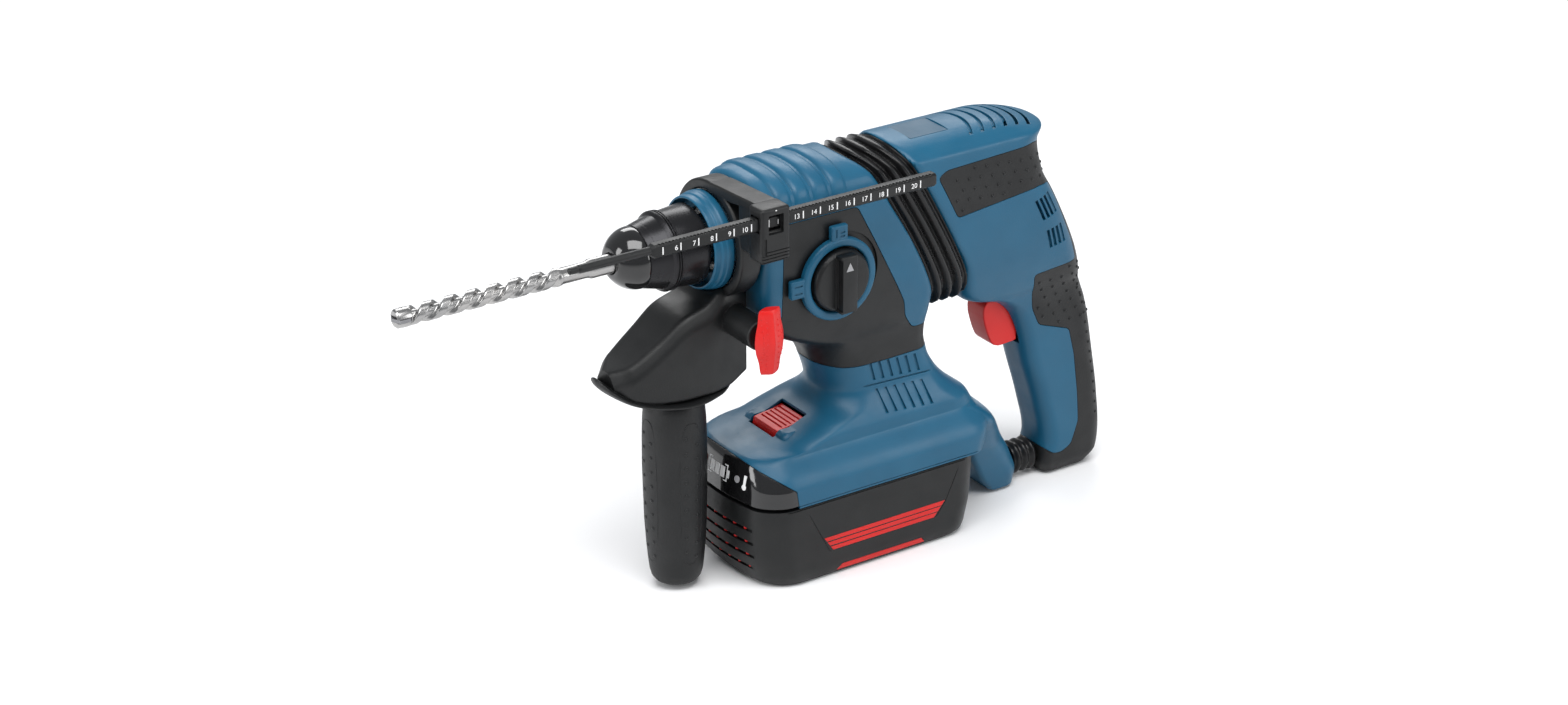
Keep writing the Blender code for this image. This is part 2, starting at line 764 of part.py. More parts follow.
def face_teeth(disc, centre, root):
    """Wedge teeth on the disc's rear face, one of them straight down."""
    pitch = 2 * math.pi / FACE_TEETH
    tip = FACE_X + ADDENDUM
    for tooth in range(FACE_TEETH):
        middle = math.pi + tooth * pitch
        corners = []
        for x, share in ((root - 0.6, 0.2), (tip, 0.1)):
            for radius, side in ((11.6, -1), (16.2, -1), (16.2, 1), (11.6, 1)):
                angle = middle + side * share * pitch
                corners.append(on_axis("x", centre, x, radius, angle))
        disc = joined(disc, loft([corners[:4], corners[4:]]))
    return disc


def motor():
    axis = (MOTOR_X, 0, 0)
    stator = [(-94, 14.5), (-94, 18.4), (-58.6, 18.4), (-58.6, 14.5)]
    add("motor_stator", turned("z", axis, stator), STEEL, metallic=0.8)
    armature = [(-105, 0), (-105, 2.4), (-99.4, 2.4), (-99.4, 8), (-92.5, 8), (-92.5, 11)]
    armature += [(-90, 13.8), (-62, 13.8), (-60, 11), (-60, 2.4), (-60, 0)]
    add("motor_armature", turned("z", axis, armature), COPPER, pivot=axis, metallic=0.8)
    phase = math.pi + math.pi / MOTOR_TEETH
    loops = []
    for z, geared in ((-59.6, 0), (-43, 0), (-42.6, 1), (-36, 1)):
        loops.append(gear_loop("z", axis, z, MOTOR_TEETH, phase, bool(geared), 2.3))
    add("motor_pinion", loft(loops), STEEL, pivot=axis, metallic=1.0)
    fan = [(-58, 2.7), (-58, 6), (-57.4, 17), (-56, 17), (-55.6, 6), (-53, 5), (-53, 2.7)]
    add("motor_fan", turned("z", axis, fan, 16), BLACK, pivot=axis)
    for name, start in (("upper", -50.4), ("lower", -104.6)):
        ring = [(start, 2.7), (start, 7.5), (start + 4.4, 7.5), (start + 4.4, 2.7)]
        add(f"motor_bearing_{name}", turned("z", axis, ring, 20), STEEL, metallic=1.0)
    for name, side in (("left", -1), ("right", 1)):
        low, high = sorted((side * 8.5, side * 17.5))
        brush = block((MOTOR_X - 3, low, -98.5), (MOTOR_X + 3, high, -94.5))
        add(f"carbon_brush_{name}", brush, BLACK)


def bit():
    """A drill with two spiral flutes, a head, and a shank held in the chuck."""
    loops = []
    flute_start, flute_end = -112, -32
    steps = 15
    for step in range(steps + 1):
        x = flute_start + (flute_end - flute_start) * step / steps
        turn = FLUTE_TURNS * 2 * math.pi * step / steps
        loops.append([on_axis("x", (0, 0, 0), x, r, a + turn) for r, a in flute_section()])
    for x, radius in ((-28, 4.1), (-14, 4.1), (-11, 5), (40, 5)):
        turn = FLUTE_TURNS * 2 * math.pi
        loops.append([on_axis("x", (0, 0, 0), x, radius, a + turn) for _, a in flute_section()])
    slot = block((-130, -8, -1.3), (-111, 8, 1.3))
    head_loops = []
    for x, radius in ((-118, 4.2), (-111.6, 5)):
        head_loops.append([on_axis("x", (0, 0, 0), x, radius, a) for _, a in flute_section()])
    drill = joined(loft(loops), loft(head_loops))
    add("drill_bit", cut(drill, slot), STEEL, pivot=(40, 0, 0), metallic=1.0, roughness=0.3)
    side = [(-119.6, 0.2), (-117.2, 5.2), (-111.4, 5.2)]
    outline = side + [(x, -y) for x, y in side[::-1]]
    tip = loft([[(x, y, z) for x, y in outline] for z in (-0.95, 0.95)])
    add("carbide_tip", tip, STEEL, pivot=(40, 0, 0), metallic=1.0, roughness=0.4)


def flute_section():
    """Radius and angle of eight points with two grooves."""
    for index in range(8):
        angle = 2 * math.pi * index / 8
        yield 4.6 - 1.9 * abs(math.sin(angle)) ** 2, angle


# Selector.
def selector():
    ring_profile = [(-0.1, 17.4), (-0.1, DIAL_RADIUS), (-3.4, DIAL_RADIUS), (-4.2, 21), (-4.2, 17.4)]
    ring = turned("y", DIAL, ring_profile, 24)
    low, high = DIAL.y - 3.4, DIAL.y - 0.1
    upper_tab = block((DIAL.x - 5, low, DIAL.z + 20.5), (DIAL.x + 5, high, DIAL.z + 28.8), 0.8)
    front_tab = block((DIAL.x - 29, low, DIAL.z - 5), (DIAL.x - 20.6, high, DIAL.z + 5), 0.8)
    add("selector_bezel", joined(ring, upper_tab, front_tab), BLUE, roughness=0.4)
    knob_profile = [(7, 0), (7, 6.2), (-0.3, 6.2), (-0.3, 16.6), (-6, 16.4), (-7.4, 15), (-7.4, 0)]
    bar_low = (DIAL.x - 5, DIAL.y - 12.4, DIAL.z - 15.5)
    bar = block(bar_low, (DIAL.x + 5, DIAL.y - 7, DIAL.z + 15.5), 0.8)
    knob = joined(turned("y", DIAL, knob_profile, 24), bar)
    add("selector_knob", knob, BLACK, pivot=DIAL, roughness=0.4)


# Side handle.
def side_handle():
    bracket = joined(
        turned("x", (0, 0, 0), [(56.6, 25.6), (56.6, 30.4), (69.2, 30.4), (69.2, 25.6)], 24),
        block((56.2, -41.8, 28.4), (69.6, -2, 32.6), 0.8),
        block((57, -41.8, 4), (69, -27, 30), 0.8),
        handle_arm(),
        hand_guard(),
        turned("y", (WING.x, 0, WING.z), [(-41.4, 0), (-41.4, 8), (-8, 8), (-8, 0)], 20),
        turned("z", (GRIP_X, 0, 0), [(-179, 0), (-179, 9), (-70, 9), (-70, 0)], 16),
    )
    bolt_hole = turned("y", (WING.x, 0, WING.z), [(-60, 0), (-60, 4.1), (-21, 4.1), (-21, 0)], 16)
    collar_room = turned("x", (0, 0, 0), [(30, 0), (30, 25.6), (80, 25.6), (80, 0)], 24)
    bracket = cut(bracket, bolt_hole, collar_room)
    add("handle_bracket", bracket, BLACK, roughness=0.4)
    band = [(57.5, 22.95), (57.5, 25.2), (68.5, 25.2), (68.5, 22.95)]
    add("clamp_band", turned("x", (0, 0, 0), band, 24), STEEL, metallic=1.0)
    sleeve = [
        (-81.6, 9.4),
        (-81.6, 15.4),
        (-92, 16.2),
        (-115, 16.6),
        (-150, 15.9),
        (-172, 14.4),
        (-181, 13),
        (-183.6, 10.6),
        (-183.6, 0),
        (-179.6, 0),
        (-179.6, 9.4),
    ]
    add("grip_sleeve", turned("z", (GRIP_X, 0, 0), sleeve), RUBBER, roughness=0.65)


def handle_arm():
    """The arm that slopes from the clamp ring forwards and down to the guard."""
    rows = [
        (-4, -57, -66, 8),
        (4, -53, -71, 15),
        (20, -42.5, -75, 18),
        (34, -32.8, -76, 19),
        (46, -28.8, -76, 19),
        (57, -20, -75, 18),
        (69, -20, -70, 16),
    ]
    loops = []
    for x, top, bottom, half in rows:
        loops.append(
            [
                (x, -half + 5, top),
                (x, -half, top - 6),
                (x, -half, bottom),
                (x, half, bottom),
                (x, half, top - 6),
                (x, half - 5, top),
            ]
        )
    return loft(loops)


def hand_guard():
    rows = [
        (-10, -61, 3),
        (-6, -65, 10),
        (4, -71.5, 16.5),
        (20, -76.5, 20),
        (36, -78.5, 21.5),
        (52, -77, 19),
        (62, -74, 13),
        (68, -71, 5),
    ]
    loops = []
    for x, middle, half in rows:
        loop = []
        for step in range(12):
            angle = 2 * math.pi * step / 12
            loop.append((x, half * math.cos(angle), middle + 2.6 * math.sin(angle)))
        loops.append(loop)
    return loft(loops)


def depth_stop():
    body = block((53, -54, 5), (69.6, -42.2, 33.4), 1.2)
    hole = block((40, ROD_Y - 3.6, ROD_Z - 4), (90, ROD_Y + 3.6, ROD_Z + 4))
    add("depth_clamp_block", cut(body, hole), BLACK, roughness=0.4)
    rod = block((-37, ROD_Y - 3, ROD_Z - 3.5), (159, ROD_Y + 3, ROD_Z + 3.5), 1.2)
    tip = block((-51, ROD_Y - 2, ROD_Z - 1.6), (-36, ROD_Y + 2, ROD_Z + 2), 0.5)
    add("depth_rod", joined(rod, tip), BLACK, pivot=(53, ROD_Y, ROD_Z), roughness=0.35)


def wing_bolt():
    rows = [
        (-21.5, 54.6, 67.4, 3.2),
        (-28, 54, 68, 4.4),
        (-38.5, 52.4, 69.6, 5.6),
        (-49, 54.6, 67.6, 4.4),
        (-55.8, 55.6, 66.6, 3.2),
    ]
    loops = []
    for z, front, rear, depth in rows:
        middle_y = WING.y - 6.2
        loops.append(
            [
                (front, middle_y, z),
                (front + 3, middle_y - depth * 0.6, z),
                (WING.x, middle_y - depth, z),
                (rear - 3, middle_y - depth * 0.6, z),
                (rear, middle_y, z),
                (rear - 3, middle_y + depth * 0.6, z),
                (WING.x, middle_y + depth, z),
                (front + 3, middle_y + depth * 0.6, z),
            ]
        )
    shaft_profile = [(-48, 0), (-48, 3.6), (-24, 3.6), (-24, 0)]
    shaft = turned("y", (WING.x, 0, WING.z), shaft_profile, 16)
    add("wing_bolt", joined(loft(loops), shaft), RED, pivot=WING, roughness=0.5)


def build():
    for obj in list(bpy.data.objects):
        bpy.data.objects.remove(obj)
    root = bpy.data.objects.new("rotary_hammer", None)
    root.location = ROOT * MM
    bpy.context.scene.collection.objects.link(root)
    front_housings()
    front_collar()
    upper_bellows()
    foot()
    latch()
    foot_contents()
    battery()
    rear_handle()
    lower_bellows()
    trigger()
    chuck()
    spindle()
    hammer()
    wobble_drive()
    intermediate_shaft()
    motor()
    bit()
    selector()
    side_handle()
    depth_stop()
    wing_bolt()


build()
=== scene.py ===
"""The looks of the cordless rotary hammer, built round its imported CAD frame.

Points are in millimetres in the tool's own frame: x runs along the spindle from the tip of the
chuck to the rear, z is up from the spindle axis, and -y is the tool's left side.
"""

import math

import bmesh
import bpy
import numpy as np
from mathutils import Matrix, Vector
from mathutils.bvhtree import BVHTree


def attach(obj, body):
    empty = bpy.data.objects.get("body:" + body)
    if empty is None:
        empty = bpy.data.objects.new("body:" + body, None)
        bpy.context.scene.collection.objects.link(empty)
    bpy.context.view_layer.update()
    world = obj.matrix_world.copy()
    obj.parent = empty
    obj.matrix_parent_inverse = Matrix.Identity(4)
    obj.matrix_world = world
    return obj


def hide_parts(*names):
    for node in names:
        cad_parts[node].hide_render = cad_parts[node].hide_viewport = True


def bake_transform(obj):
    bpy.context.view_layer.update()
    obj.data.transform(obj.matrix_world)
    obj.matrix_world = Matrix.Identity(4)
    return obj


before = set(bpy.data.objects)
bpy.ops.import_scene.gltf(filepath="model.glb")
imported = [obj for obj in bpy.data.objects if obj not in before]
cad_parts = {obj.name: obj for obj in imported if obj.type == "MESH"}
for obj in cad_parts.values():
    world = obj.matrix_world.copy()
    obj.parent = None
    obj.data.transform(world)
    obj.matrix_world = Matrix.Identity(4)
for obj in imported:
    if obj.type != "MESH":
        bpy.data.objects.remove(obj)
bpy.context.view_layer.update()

MM = 0.001
ROOT = Vector((-130, 0, 186))
FAR = 400
GAP = 0.3
DIAL = Vector((112.9, -30.3, -23.7))
WING = Vector((61, -42, -38.5))
GRIP_X = 35.5
ROD_Y, ROD_Z = -48, 25
ROD_ZERO, CENTIMETRE = -51, 10
WALL, SKIN = 3.6, 1.8
RIB_XS = (84, 95, 106, 117)
LOWER_JOINT_Z = -175

# Upright sections: height, front, rear, half width, front and rear corner radius, front bulge.
FRONT_BODY = [
    (31.6, 84, 126, 1.0, 5, 3, 0), (31.5, 81, 128.5, 5, 5, 3, 0), (31.1, 78.5, 129.8, 9.5, 5, 3, 0),
    (30.3, 75, 131, 13.5, 6, 3, 0), (28, 72, 134.5, 19.5, 7, 3, 0), (24, 71, 138.5, 25, 7, 3, 0),
    (17, 71, 142.3, 28, 6, 3, 0), (8, 71, 147, 29.5, 5, 3, 0), (-12, 71, 159, 30, 5, 3, 0),
    (-36, 72, 171.5, 29.5, 6, 4, 0), (-50, 80, 177, 28, 9, 6, 0), (-60, 95, 177.5, 26, 14, 8, 0),
    (-67, 107, 177.8, 24, 20, 9, 0), (-76, 113, 178.5, 22.8, 21, 10, 0), (-86, 117, 181, 22.4, 21, 10, 0),
]
FOOT = [
    (-76, 113, 178.5, 22.8, 21, 10, 0), (-86, 117, 181, 22.4, 21, 10, 0),
    (-96, 119.6, 187, 23.2, 21, 12, 0), (-102, 116.5, 192, 26, 21, 14, 0),
    (-108, 104, 199, 29.5, 18, 16, 1), (-112, 93, 204, 31, 16, 17, 2),
    (-115.4, 80, 206.5, 31.4, 15, 18, 4), (-117, 66, 207.3, 31.6, 14, 18, 6),
    (-119, 63, 208, 33.2, 14, 18, 6.5), (-121.5, 62, 209, 35.6, 14, 18, 7),
    (-126, 61, 210.5, 39.4, 14, 16, 7), (-131, 60.2, 209, 41.5, 14, 14, 7),
    (-140.5, 59.5, 205, 42, 14, 12, 7),
]
HOOK = [
    (-118, 190, 207, 31, 3, 30, 0), (-128, 200, 218.6, 34, 3, 28, 0), (-138, 204.5, 228, 28, 3, 24, 0),
    (-146, 206.5, 233, 24, 3, 21, 0), (-154, 209, 238, 20, 3, 18, 0), (-166, 215, 244.6, 17, 3, 15, 0),
    (-176, 221, 247, 15, 3, 10, 0), (-184, 228, 246.5, 13, 3, 9, 0),
]
REAR_BODY = [
    (31.4, 166, 208, 1.0, 3, 6, 0), (31.25, 162, 214, 5, 3, 8, 0), (30.9, 160.6, 222, 8.5, 3, 9, 0),
    (30.2, 160, 230, 12, 3, 10, 0), (28.4, 161, 240, 17.5, 3, 16, 0), (26, 162.2, 250, 21.5, 3, 20, 0),
    (23, 163.8, 257, 25, 3, 24, 0), (18, 166.6, 254, 25.8, 3, 24, 0), (10.8, 170.6, 253, 26.5, 3, 22, 0),
    (0, 176.5, 254.6, 27, 3, 20, 0), (-13.4, 183.8, 261.5, 27, 3, 19, 0),
    (-25.3, 190, 267.5, 26.5, 3, 18, 0),
    (-44, 199.2, 276, 25, 4, 16, 0), (-60, 202, 282.3, 21.5, 6, 14, 0), (-66, 207, 284, 19.5, 8, 13, 0),
    (-71, 222, 285.5, 17, 9, 12, 0), (-77, 234, 288, 15.5, 9, 11, 0), (-84, 240, 291.3, 14.5, 9, 11, 0),
    (-119.4, 251.8, 299, 14.2, 9, 11, 0), (-141.5, 259, 302.6, 14.5, 9, 11, 0),
    (-166, 264.5, 305, 14.5, 9, 11, 0), (-177.5, 263.5, 303, 14, 5, 9, 0),
    (-184.3, 265.6, 297.5, 11.6, 5, 8, 0),
]
BATTERY = [
    (-141.1, 59.5, 199, 42, 14, 14, 7), (-150, 58.5, 198.5, 42.5, 14, 14, 7),
    (-165, 59.5, 197.5, 42.5, 14, 14, 7), (-177, 62, 196, 42, 15, 15, 7),
    (-183.5, 65, 195, 40.5, 15, 15, 6), (-186, 68, 192, 38, 15, 15, 5),
]

# Side outlines (x, z).
COVER_REGION = [
    (60, -40), (80.9, -39.8), (81.9, 10.8), (126.5, 10.8), (157, -48.5), (159, -58), (165.2, -66.6),
    (190, -66.6), (190, 60), (60, 60),
]
GRIP_REGION = [
    (178.8, 12.9), (184, 15.8), (240.9, 18.1), (262, 12), (330, 11), (330, -195), (238, -195),
    (238, -161), (258, -164.6), (269, -172.6), (275, -173), (281, -169.6), (285.4, -156.6), (284, -139),
    (281, -116), (276.7, -99.5), (256, -92), (251, -81.4), (246, -58.4), (274, -55.6), (270, -43.5),
    (260, -19.3), (254, -7.2), (243.6, -5.5), (191.2, -11.2),
]
PANEL_REGION = [(40, -110), (63, -116.5), (68, -121), (76, -126.5), (82, -131), (86, -160), (40, -160)]
FOOT_TOP_LINE = [(50, -74), (106, -77), (116, -80), (125, -81.3), (150, -81.7), (178, -81), (220, -79)]


# Materials.
def new_material(name):
    material = bpy.data.materials.new(name)
    material.use_nodes = True
    return material, material.node_tree.nodes, material.node_tree.links


def noise(nodes, links, coords, scale, detail=2.0, stretch=None):
    texture = nodes.new("ShaderNodeTexNoise")
    texture.inputs["Scale"].default_value = scale
    texture.inputs["Detail"].default_value = detail
    source = coords.outputs["Object"]
    if stretch:
        mapping = nodes.new("ShaderNodeMapping")
        mapping.inputs["Scale"].default_value = stretch
        links.new(source, mapping.inputs["Vector"])
        source = mapping.outputs["Vector"]
    links.new(source, texture.inputs["Vector"])
    return texture.outputs["Fac"]


def ranged(nodes, links, value, low, high):
    node = nodes.new("ShaderNodeMapRange")
    node.inputs["From Min"].default_value = 0.3
    node.inputs["From Max"].default_value = 0.7
    node.inputs["To Min"].default_value = low
    node.inputs["To Max"].default_value = high
    links.new(value, node.inputs["Value"])
    return node.outputs["Result"]


def surface(name, light, dark, rough, metallic=0.0, grain=1400, bump=0.12, coat=0.0, edge=0.5,
            stretch=None):
    """A moulded or machined finish: slow colour drift, uneven gloss, fine grain and soft edges."""
    material, nodes, links = new_material(name)
    shader = nodes["Principled BSDF"]
    coords = nodes.new("ShaderNodeTexCoord")
    mix = nodes.new("ShaderNodeMix")
    mix.data_type = "RGBA"
    mix.inputs["A"].default_value = (*light, 1)
    mix.inputs["B"].default_value = (*dark, 1)
    links.new(ranged(nodes, links, noise(nodes, links, coords, 38, 4), 0, 1), mix.inputs["Factor"])
    links.new(mix.outputs["Result"], shader.inputs["Base Color"])
    smudges = noise(nodes, links, coords, 90, 5, stretch)
    links.new(ranged(nodes, links, smudges, *rough), shader.inputs["Roughness"])
    shader.inputs["Metallic"].default_value = metallic
    shader.inputs["Specular IOR Level"].default_value = 0.34
    shader.inputs["Coat Weight"].default_value = coat
    shader.inputs["Coat Roughness"].default_value = 0.08
    rounding = nodes.new("ShaderNodeBevel")
    rounding.inputs["Radius"].default_value = edge * MM
    height = nodes.new("ShaderNodeBump")
    height.inputs["Strength"].default_value = bump
    height.inputs["Distance"].default_value = 0.0003
    links.new(noise(nodes, links, coords, grain, 2, stretch), height.inputs["Height"])
    links.new(rounding.outputs["Normal"], height.inputs["Normal"])
    links.new(height.outputs["Normal"], shader.inputs["Normal"])
    return material


BLUE = surface("blue_moulding", (0.0065, 0.088, 0.165), (0.0055, 0.076, 0.145), (0.34, 0.46), bump=0.16)
BLACK = surface("black_moulding", (0.0062, 0.0068, 0.0072), (0.0045, 0.005, 0.0054), (0.36, 0.5), bump=0.2)
GLOSS = surface("gloss_black", (0.005, 0.005, 0.0055), (0.007, 0.007, 0.0075), (0.07, 0.12), coat=0.6,
                bump=0.01)
SATIN = surface("satin_black", (0.022, 0.022, 0.024), (0.015, 0.015, 0.017), (0.22, 0.32), metallic=0.6,
                bump=0.06)
RUBBER = surface("grip_rubber", (0.0075, 0.008, 0.0085), (0.005, 0.0055, 0.006), (0.42, 0.56), grain=900,
                 bump=0.3)
BELLOWS = surface("bellows_rubber", (0.005, 0.005, 0.0055), (0.004, 0.004, 0.0045), (0.24, 0.36), bump=0.05)
RED = surface("red_moulding", (0.60, 0.010, 0.008), (0.52, 0.008, 0.007), (0.34, 0.44), bump=0.2)
STEEL = surface("ground_steel", (0.42, 0.41, 0.40), (0.30, 0.30, 0.30), (0.2, 0.34), metallic=1.0,
                bump=0.05,
                edge=0.15, stretch=(1, 8, 8))
CARBIDE = surface("carbide", (0.26, 0.26, 0.27), (0.2, 0.2, 0.21), (0.3, 0.4), metallic=1.0, edge=0.15)
COPPER = surface("windings", (0.52, 0.24, 0.10), (0.36, 0.15, 0.06), (0.3, 0.45), metallic=0.8, grain=2500)
WHITE = surface("white_print", (0.82, 0.82, 0.82), (0.74, 0.74, 0.74), (0.4, 0.5), edge=0.05)
SCREEN = surface("grey_print", (0.32, 0.32, 0.33), (0.27, 0.27, 0.28), (0.35, 0.45), edge=0.05)
BOARD = surface("circuit_board", (0.02, 0.15, 0.05), (0.015, 0.11, 0.04), (0.35, 0.5), grain=500)
CELL = surface("cell_wrap", (0.10, 0.20, 0.30), (0.08, 0.16, 0.25), (0.25, 0.35))
DARK_BLUE = surface("blue_recess", (0.0045, 0.058, 0.11), (0.0035, 0.048, 0.092), (0.4, 0.5), bump=0.1)


# Meshes.
def mesh_of(points, faces):
    mesh = bpy.data.meshes.new("shape")
    mesh.from_pydata([tuple(map(float, point)) for point in points], [], faces)
    sheet = bmesh.new()
    sheet.from_mesh(mesh)
    bmesh.ops.recalc_face_normals(sheet, faces=sheet.faces)
    sheet.to_mesh(mesh)
    sheet.free()
    return mesh


def loft(loops, closed=False):
    """A solid through equal loops, capped at both ends, or a ring of loops that meets itself."""
    count = len(loops[0])
    rows = len(loops)
    faces = []
    if not closed:
        faces = [tuple(range(count)), tuple(range((rows - 1) * count, rows * count))]
    for row in range(rows if closed else rows - 1):
        start, other = row * count, (row + 1) % rows * count
        faces += [(start + i, start + (i + 1) % count, other + (i + 1) % count, other + i)
                  for i in range(count)]
    return mesh_of([point for loop in loops for point in loop], faces)


def on_axis(axis, centre, along, radius, angle):
    """The point at an angle round an axis: from +z for x and y, and from +x for z."""
    across, up = radius * math.sin(angle), radius * math.cos(angle)
    offset = {"x": (along, across, up), "y": (across, along, up), "z": (up, across, along)}[axis]
    return Vector(centre) + Vector(offset)


def turned(axis, centre, profile, sides=96):
    """A closed profile of (distance along the axis, radius) turned about the axis."""
    points, rings, faces = [], [], []
    for along, radius in profile:
        ring = []
        for side in range(sides if radius > 0 else 1):
            ring.append(len(points))
            points.append(on_axis(axis, centre, along, radius, 2 * math.pi * side / sides))
        rings.append(ring)
    for ring, other in zip(rings, rings[1:] + rings[:1]):
        if len(ring) == len(other) == 1:
            continue
        for side in range(sides):
            after = (side + 1) % sides
            corners = [ring[side % len(ring)], ring[after % len(ring)]]
            corners += [other[after % len(other)], other[side % len(other)]]
            faces.append(tuple(dict.fromkeys(corners)))
    return mesh_of(points, faces)


def rounded(profile, radius=0.4, steps=3):
    """A closed profile with each corner off the axis replaced by a small arc."""
    result = []
    for before, here, after in zip(profile[-1:] + profile[:-1], profile, profile[1:] + profile[:1]):
        here_v = Vector(here)
        to_before, to_after = Vector(before) - here_v, Vector(after) - here_v
        if here[1] <= 0 or min(to_before.length, to_after.length) < 0.3:
            result.append(tuple(here))
            continue
        reach = min(radius, to_before.length * 0.45, to_after.length * 0.45)
        start = here_v + to_before.normalized() * reach
        end = here_v + to_after.normalized() * reach
        for step in range(steps + 1):
            t = step / steps
            point = start * (1 - t) ** 2 + here_v * 2 * t * (1 - t) + end * t * t
            result.append(tuple(point))
    return result


def block(low, high, round_by=0.0, segments=3):
    """A box between two corners, with its edges rounded."""
    sheet = bmesh.new()
    bmesh.ops.create_cube(sheet, size=1)
    low, high = Vector(low), Vector(high)
    bmesh.ops.scale(sheet, vec=high - low, verts=sheet.verts)
    bmesh.ops.translate(sheet, vec=(low + high) / 2, verts=sheet.verts)
    if round_by:
        edges = list(sheet.edges)
        bmesh.ops.bevel(sheet, geom=edges, offset=round_by, segments=segments, affect="EDGES", profile=0.5)
    mesh = bpy.data.meshes.new("block")
    sheet.to_mesh(mesh)
    sheet.free()
    return mesh


def softened(outline, radius=2.0, steps=4):
    """An outline of points with its corners rounded."""
    result = []
    for before, here, after in zip(outline[-1:] + outline[:-1], outline, outline[1:] + outline[:1]):
        here_v = Vector(here)
        back, on = Vector(before) - here_v, Vector(after) - here_v
        reach = min(radius, back.length * 0.45, on.length * 0.45)
        start, end = here_v + back.normalized() * reach, here_v + on.normalized() * reach
        for step in range(steps + 1):
            t = step / steps
            result.append(tuple(start * (1 - t) ** 2 + here_v * 2 * t * (1 - t) + end * t * t))
    return result


def prism(outline, low, high):
    """A side outline (x, z) extruded from y = low to y = high."""
    return loft([[(x, y, z) for x, z in outline] for y in (low, high)])


def boolean(mesh, other, operation):
    """Two closed meshes combined."""
    made = []
    for name, data in (("base", mesh), ("tool", other)):
        made.append(bpy.data.objects.new(name, data))
        bpy.context.scene.collection.objects.link(made[-1])
    modifier = made[0].modifiers.new("combine", "BOOLEAN")
    modifier.operation, modifier.object, modifier.solver = operation, made[1], "MANIFOLD"
    graph = bpy.context.evaluated_depsgraph_get()
    result = bpy.data.meshes.new_from_object(made[0].evaluated_get(graph))
    for obj in made:
        bpy.data.objects.remove(obj)
    return result


def cut(mesh, *cutters):
    for cutter in cutters:
        mesh = boolean(mesh, cutter, "DIFFERENCE")
    return mesh


def common(mesh, other):
    return boolean(mesh, other, "INTERSECT")


def joined(mesh, *others):
    for other in others:
        mesh = boolean(mesh, other, "UNION")
    return mesh


def merged(meshes):
    """Separate closed meshes held in one mesh."""
    sheet = bmesh.new()
    for mesh in meshes:
        sheet.from_mesh(mesh)
    result = bpy.data.meshes.new("merged")
    sheet.to_mesh(result)
    sheet.free()
    return result


def grown(outline, by):
    """An outline with each corner moved outwards."""
    points = [Vector(point) for point in outline]
    area = sum(a.x * b.y - b.x * a.y for a, b in zip(points, points[1:] + points[:1]))
    by = by if area > 0 else -by
    result = []
    for before, here, after in zip(points[-1:] + points[:-1], points, points[1:] + points[:1]):
        first, second = (here - before).normalized(), (after - here).normalized()
        normal = Vector((first.y + second.y, -first.x - second.x)).normalized()
        lean = max(0.5, normal.dot(Vector((first.y, -first.x))))
        result.append(tuple(here + normal * by / lean))
    return result


# Housings.
def slopes(ts, values):
    """Slopes at the stations that keep the curve through them from overshooting."""
    steps = np.diff(ts)
    rates = np.diff(values) / steps
    result = np.zeros(len(values))
    result[0], result[-1] = rates[0], rates[-1]
    for i in range(1, len(values) - 1):
        if rates[i - 1] * rates[i] > 0:
            w1, w2 = 2 * steps[i] + steps[i - 1], steps[i] + 2 * steps[i - 1]
            result[i] = (w1 + w2) / (w1 / rates[i - 1] + w2 / rates[i])
    return result


def dense_rows(stations, pitch=1.6):
    """The stations with smooth rows between them."""
    table = np.array(stations, float)
    lengths = [0.0]
    for above, below in zip(table, table[1:]):
        spread = np.abs(below - above)
        lengths.append(lengths[-1] + max(spread[0], spread[1], spread[2], spread[3], 0.2))
    ts = np.array(lengths)
    count = int(ts[-1] / pitch)
    wanted = np.union1d(np.linspace(0, ts[-1], count), ts)
    rows = np.zeros((len(wanted), table.shape[1]))
    for column in range(table.shape[1]):
        values = table[:, column]
        slope = slopes(ts, values)
        index = np.clip(np.searchsorted(ts, wanted, side="right") - 1, 0, len(ts) - 2)
        h = ts[index + 1] - ts[index]
        t = (wanted - ts[index]) / h
        rows[:, column] = (
            (1 + 2 * t) * (1 - t) ** 2 * values[index] + t * (1 - t) ** 2 * h * slope[index]
            + t * t * (3 - 2 * t) * values[index + 1] + t * t * (t - 1) * h * slope[index + 1]
        )
    return rows


def dense_loop(row, inset, count):
    """An evenly spaced loop round a rectangle with oval corners, starting at the middle of the rear."""
    z, front, rear, half, front_radius, rear_radius, bulge = row
    front, rear, half = front + inset, rear - inset, half - inset
    length = rear - front
    path = [(rear, 0.0)]
    for x, start in ((rear, 0), (front, 90)):
        radius, share = (rear_radius, 0.62) if x == rear else (front_radius, 0.34)
        along = min(max(1.5, radius - inset), share * length)
        across = min(max(1.5, radius - inset), half * 0.96)
        inward = -along if x == rear else along
        for step in range(13):
            angle = math.radians(start + 90 * step / 12)
            y = half - across + across * math.sin(angle)
            px = x + inward + along * math.cos(angle)
            if x == front:
                px += bulge * (y / half) ** 2
            path.append((px, y))
    if bulge:
        path += [(front + bulge * (s * (half - across) / half) ** 2, s * (half - across))
                 for s in (0.75, 0.5, 0.25)]
    path.append((front, 0.0))
    path = np.array(path)
    runs = np.concatenate([[0], np.cumsum(np.hypot(*np.diff(path, axis=0).T))])
    at = np.linspace(0, runs[-1], count // 2 + 1)
    xs, ys = np.interp(at, runs, path[:, 0]), np.interp(at, runs, path[:, 1])
    right = list(zip(xs, ys))
    left = [(x, -y) for x, y in right[-2:0:-1]]
    return [(x, y, z) for x, y in right + left]


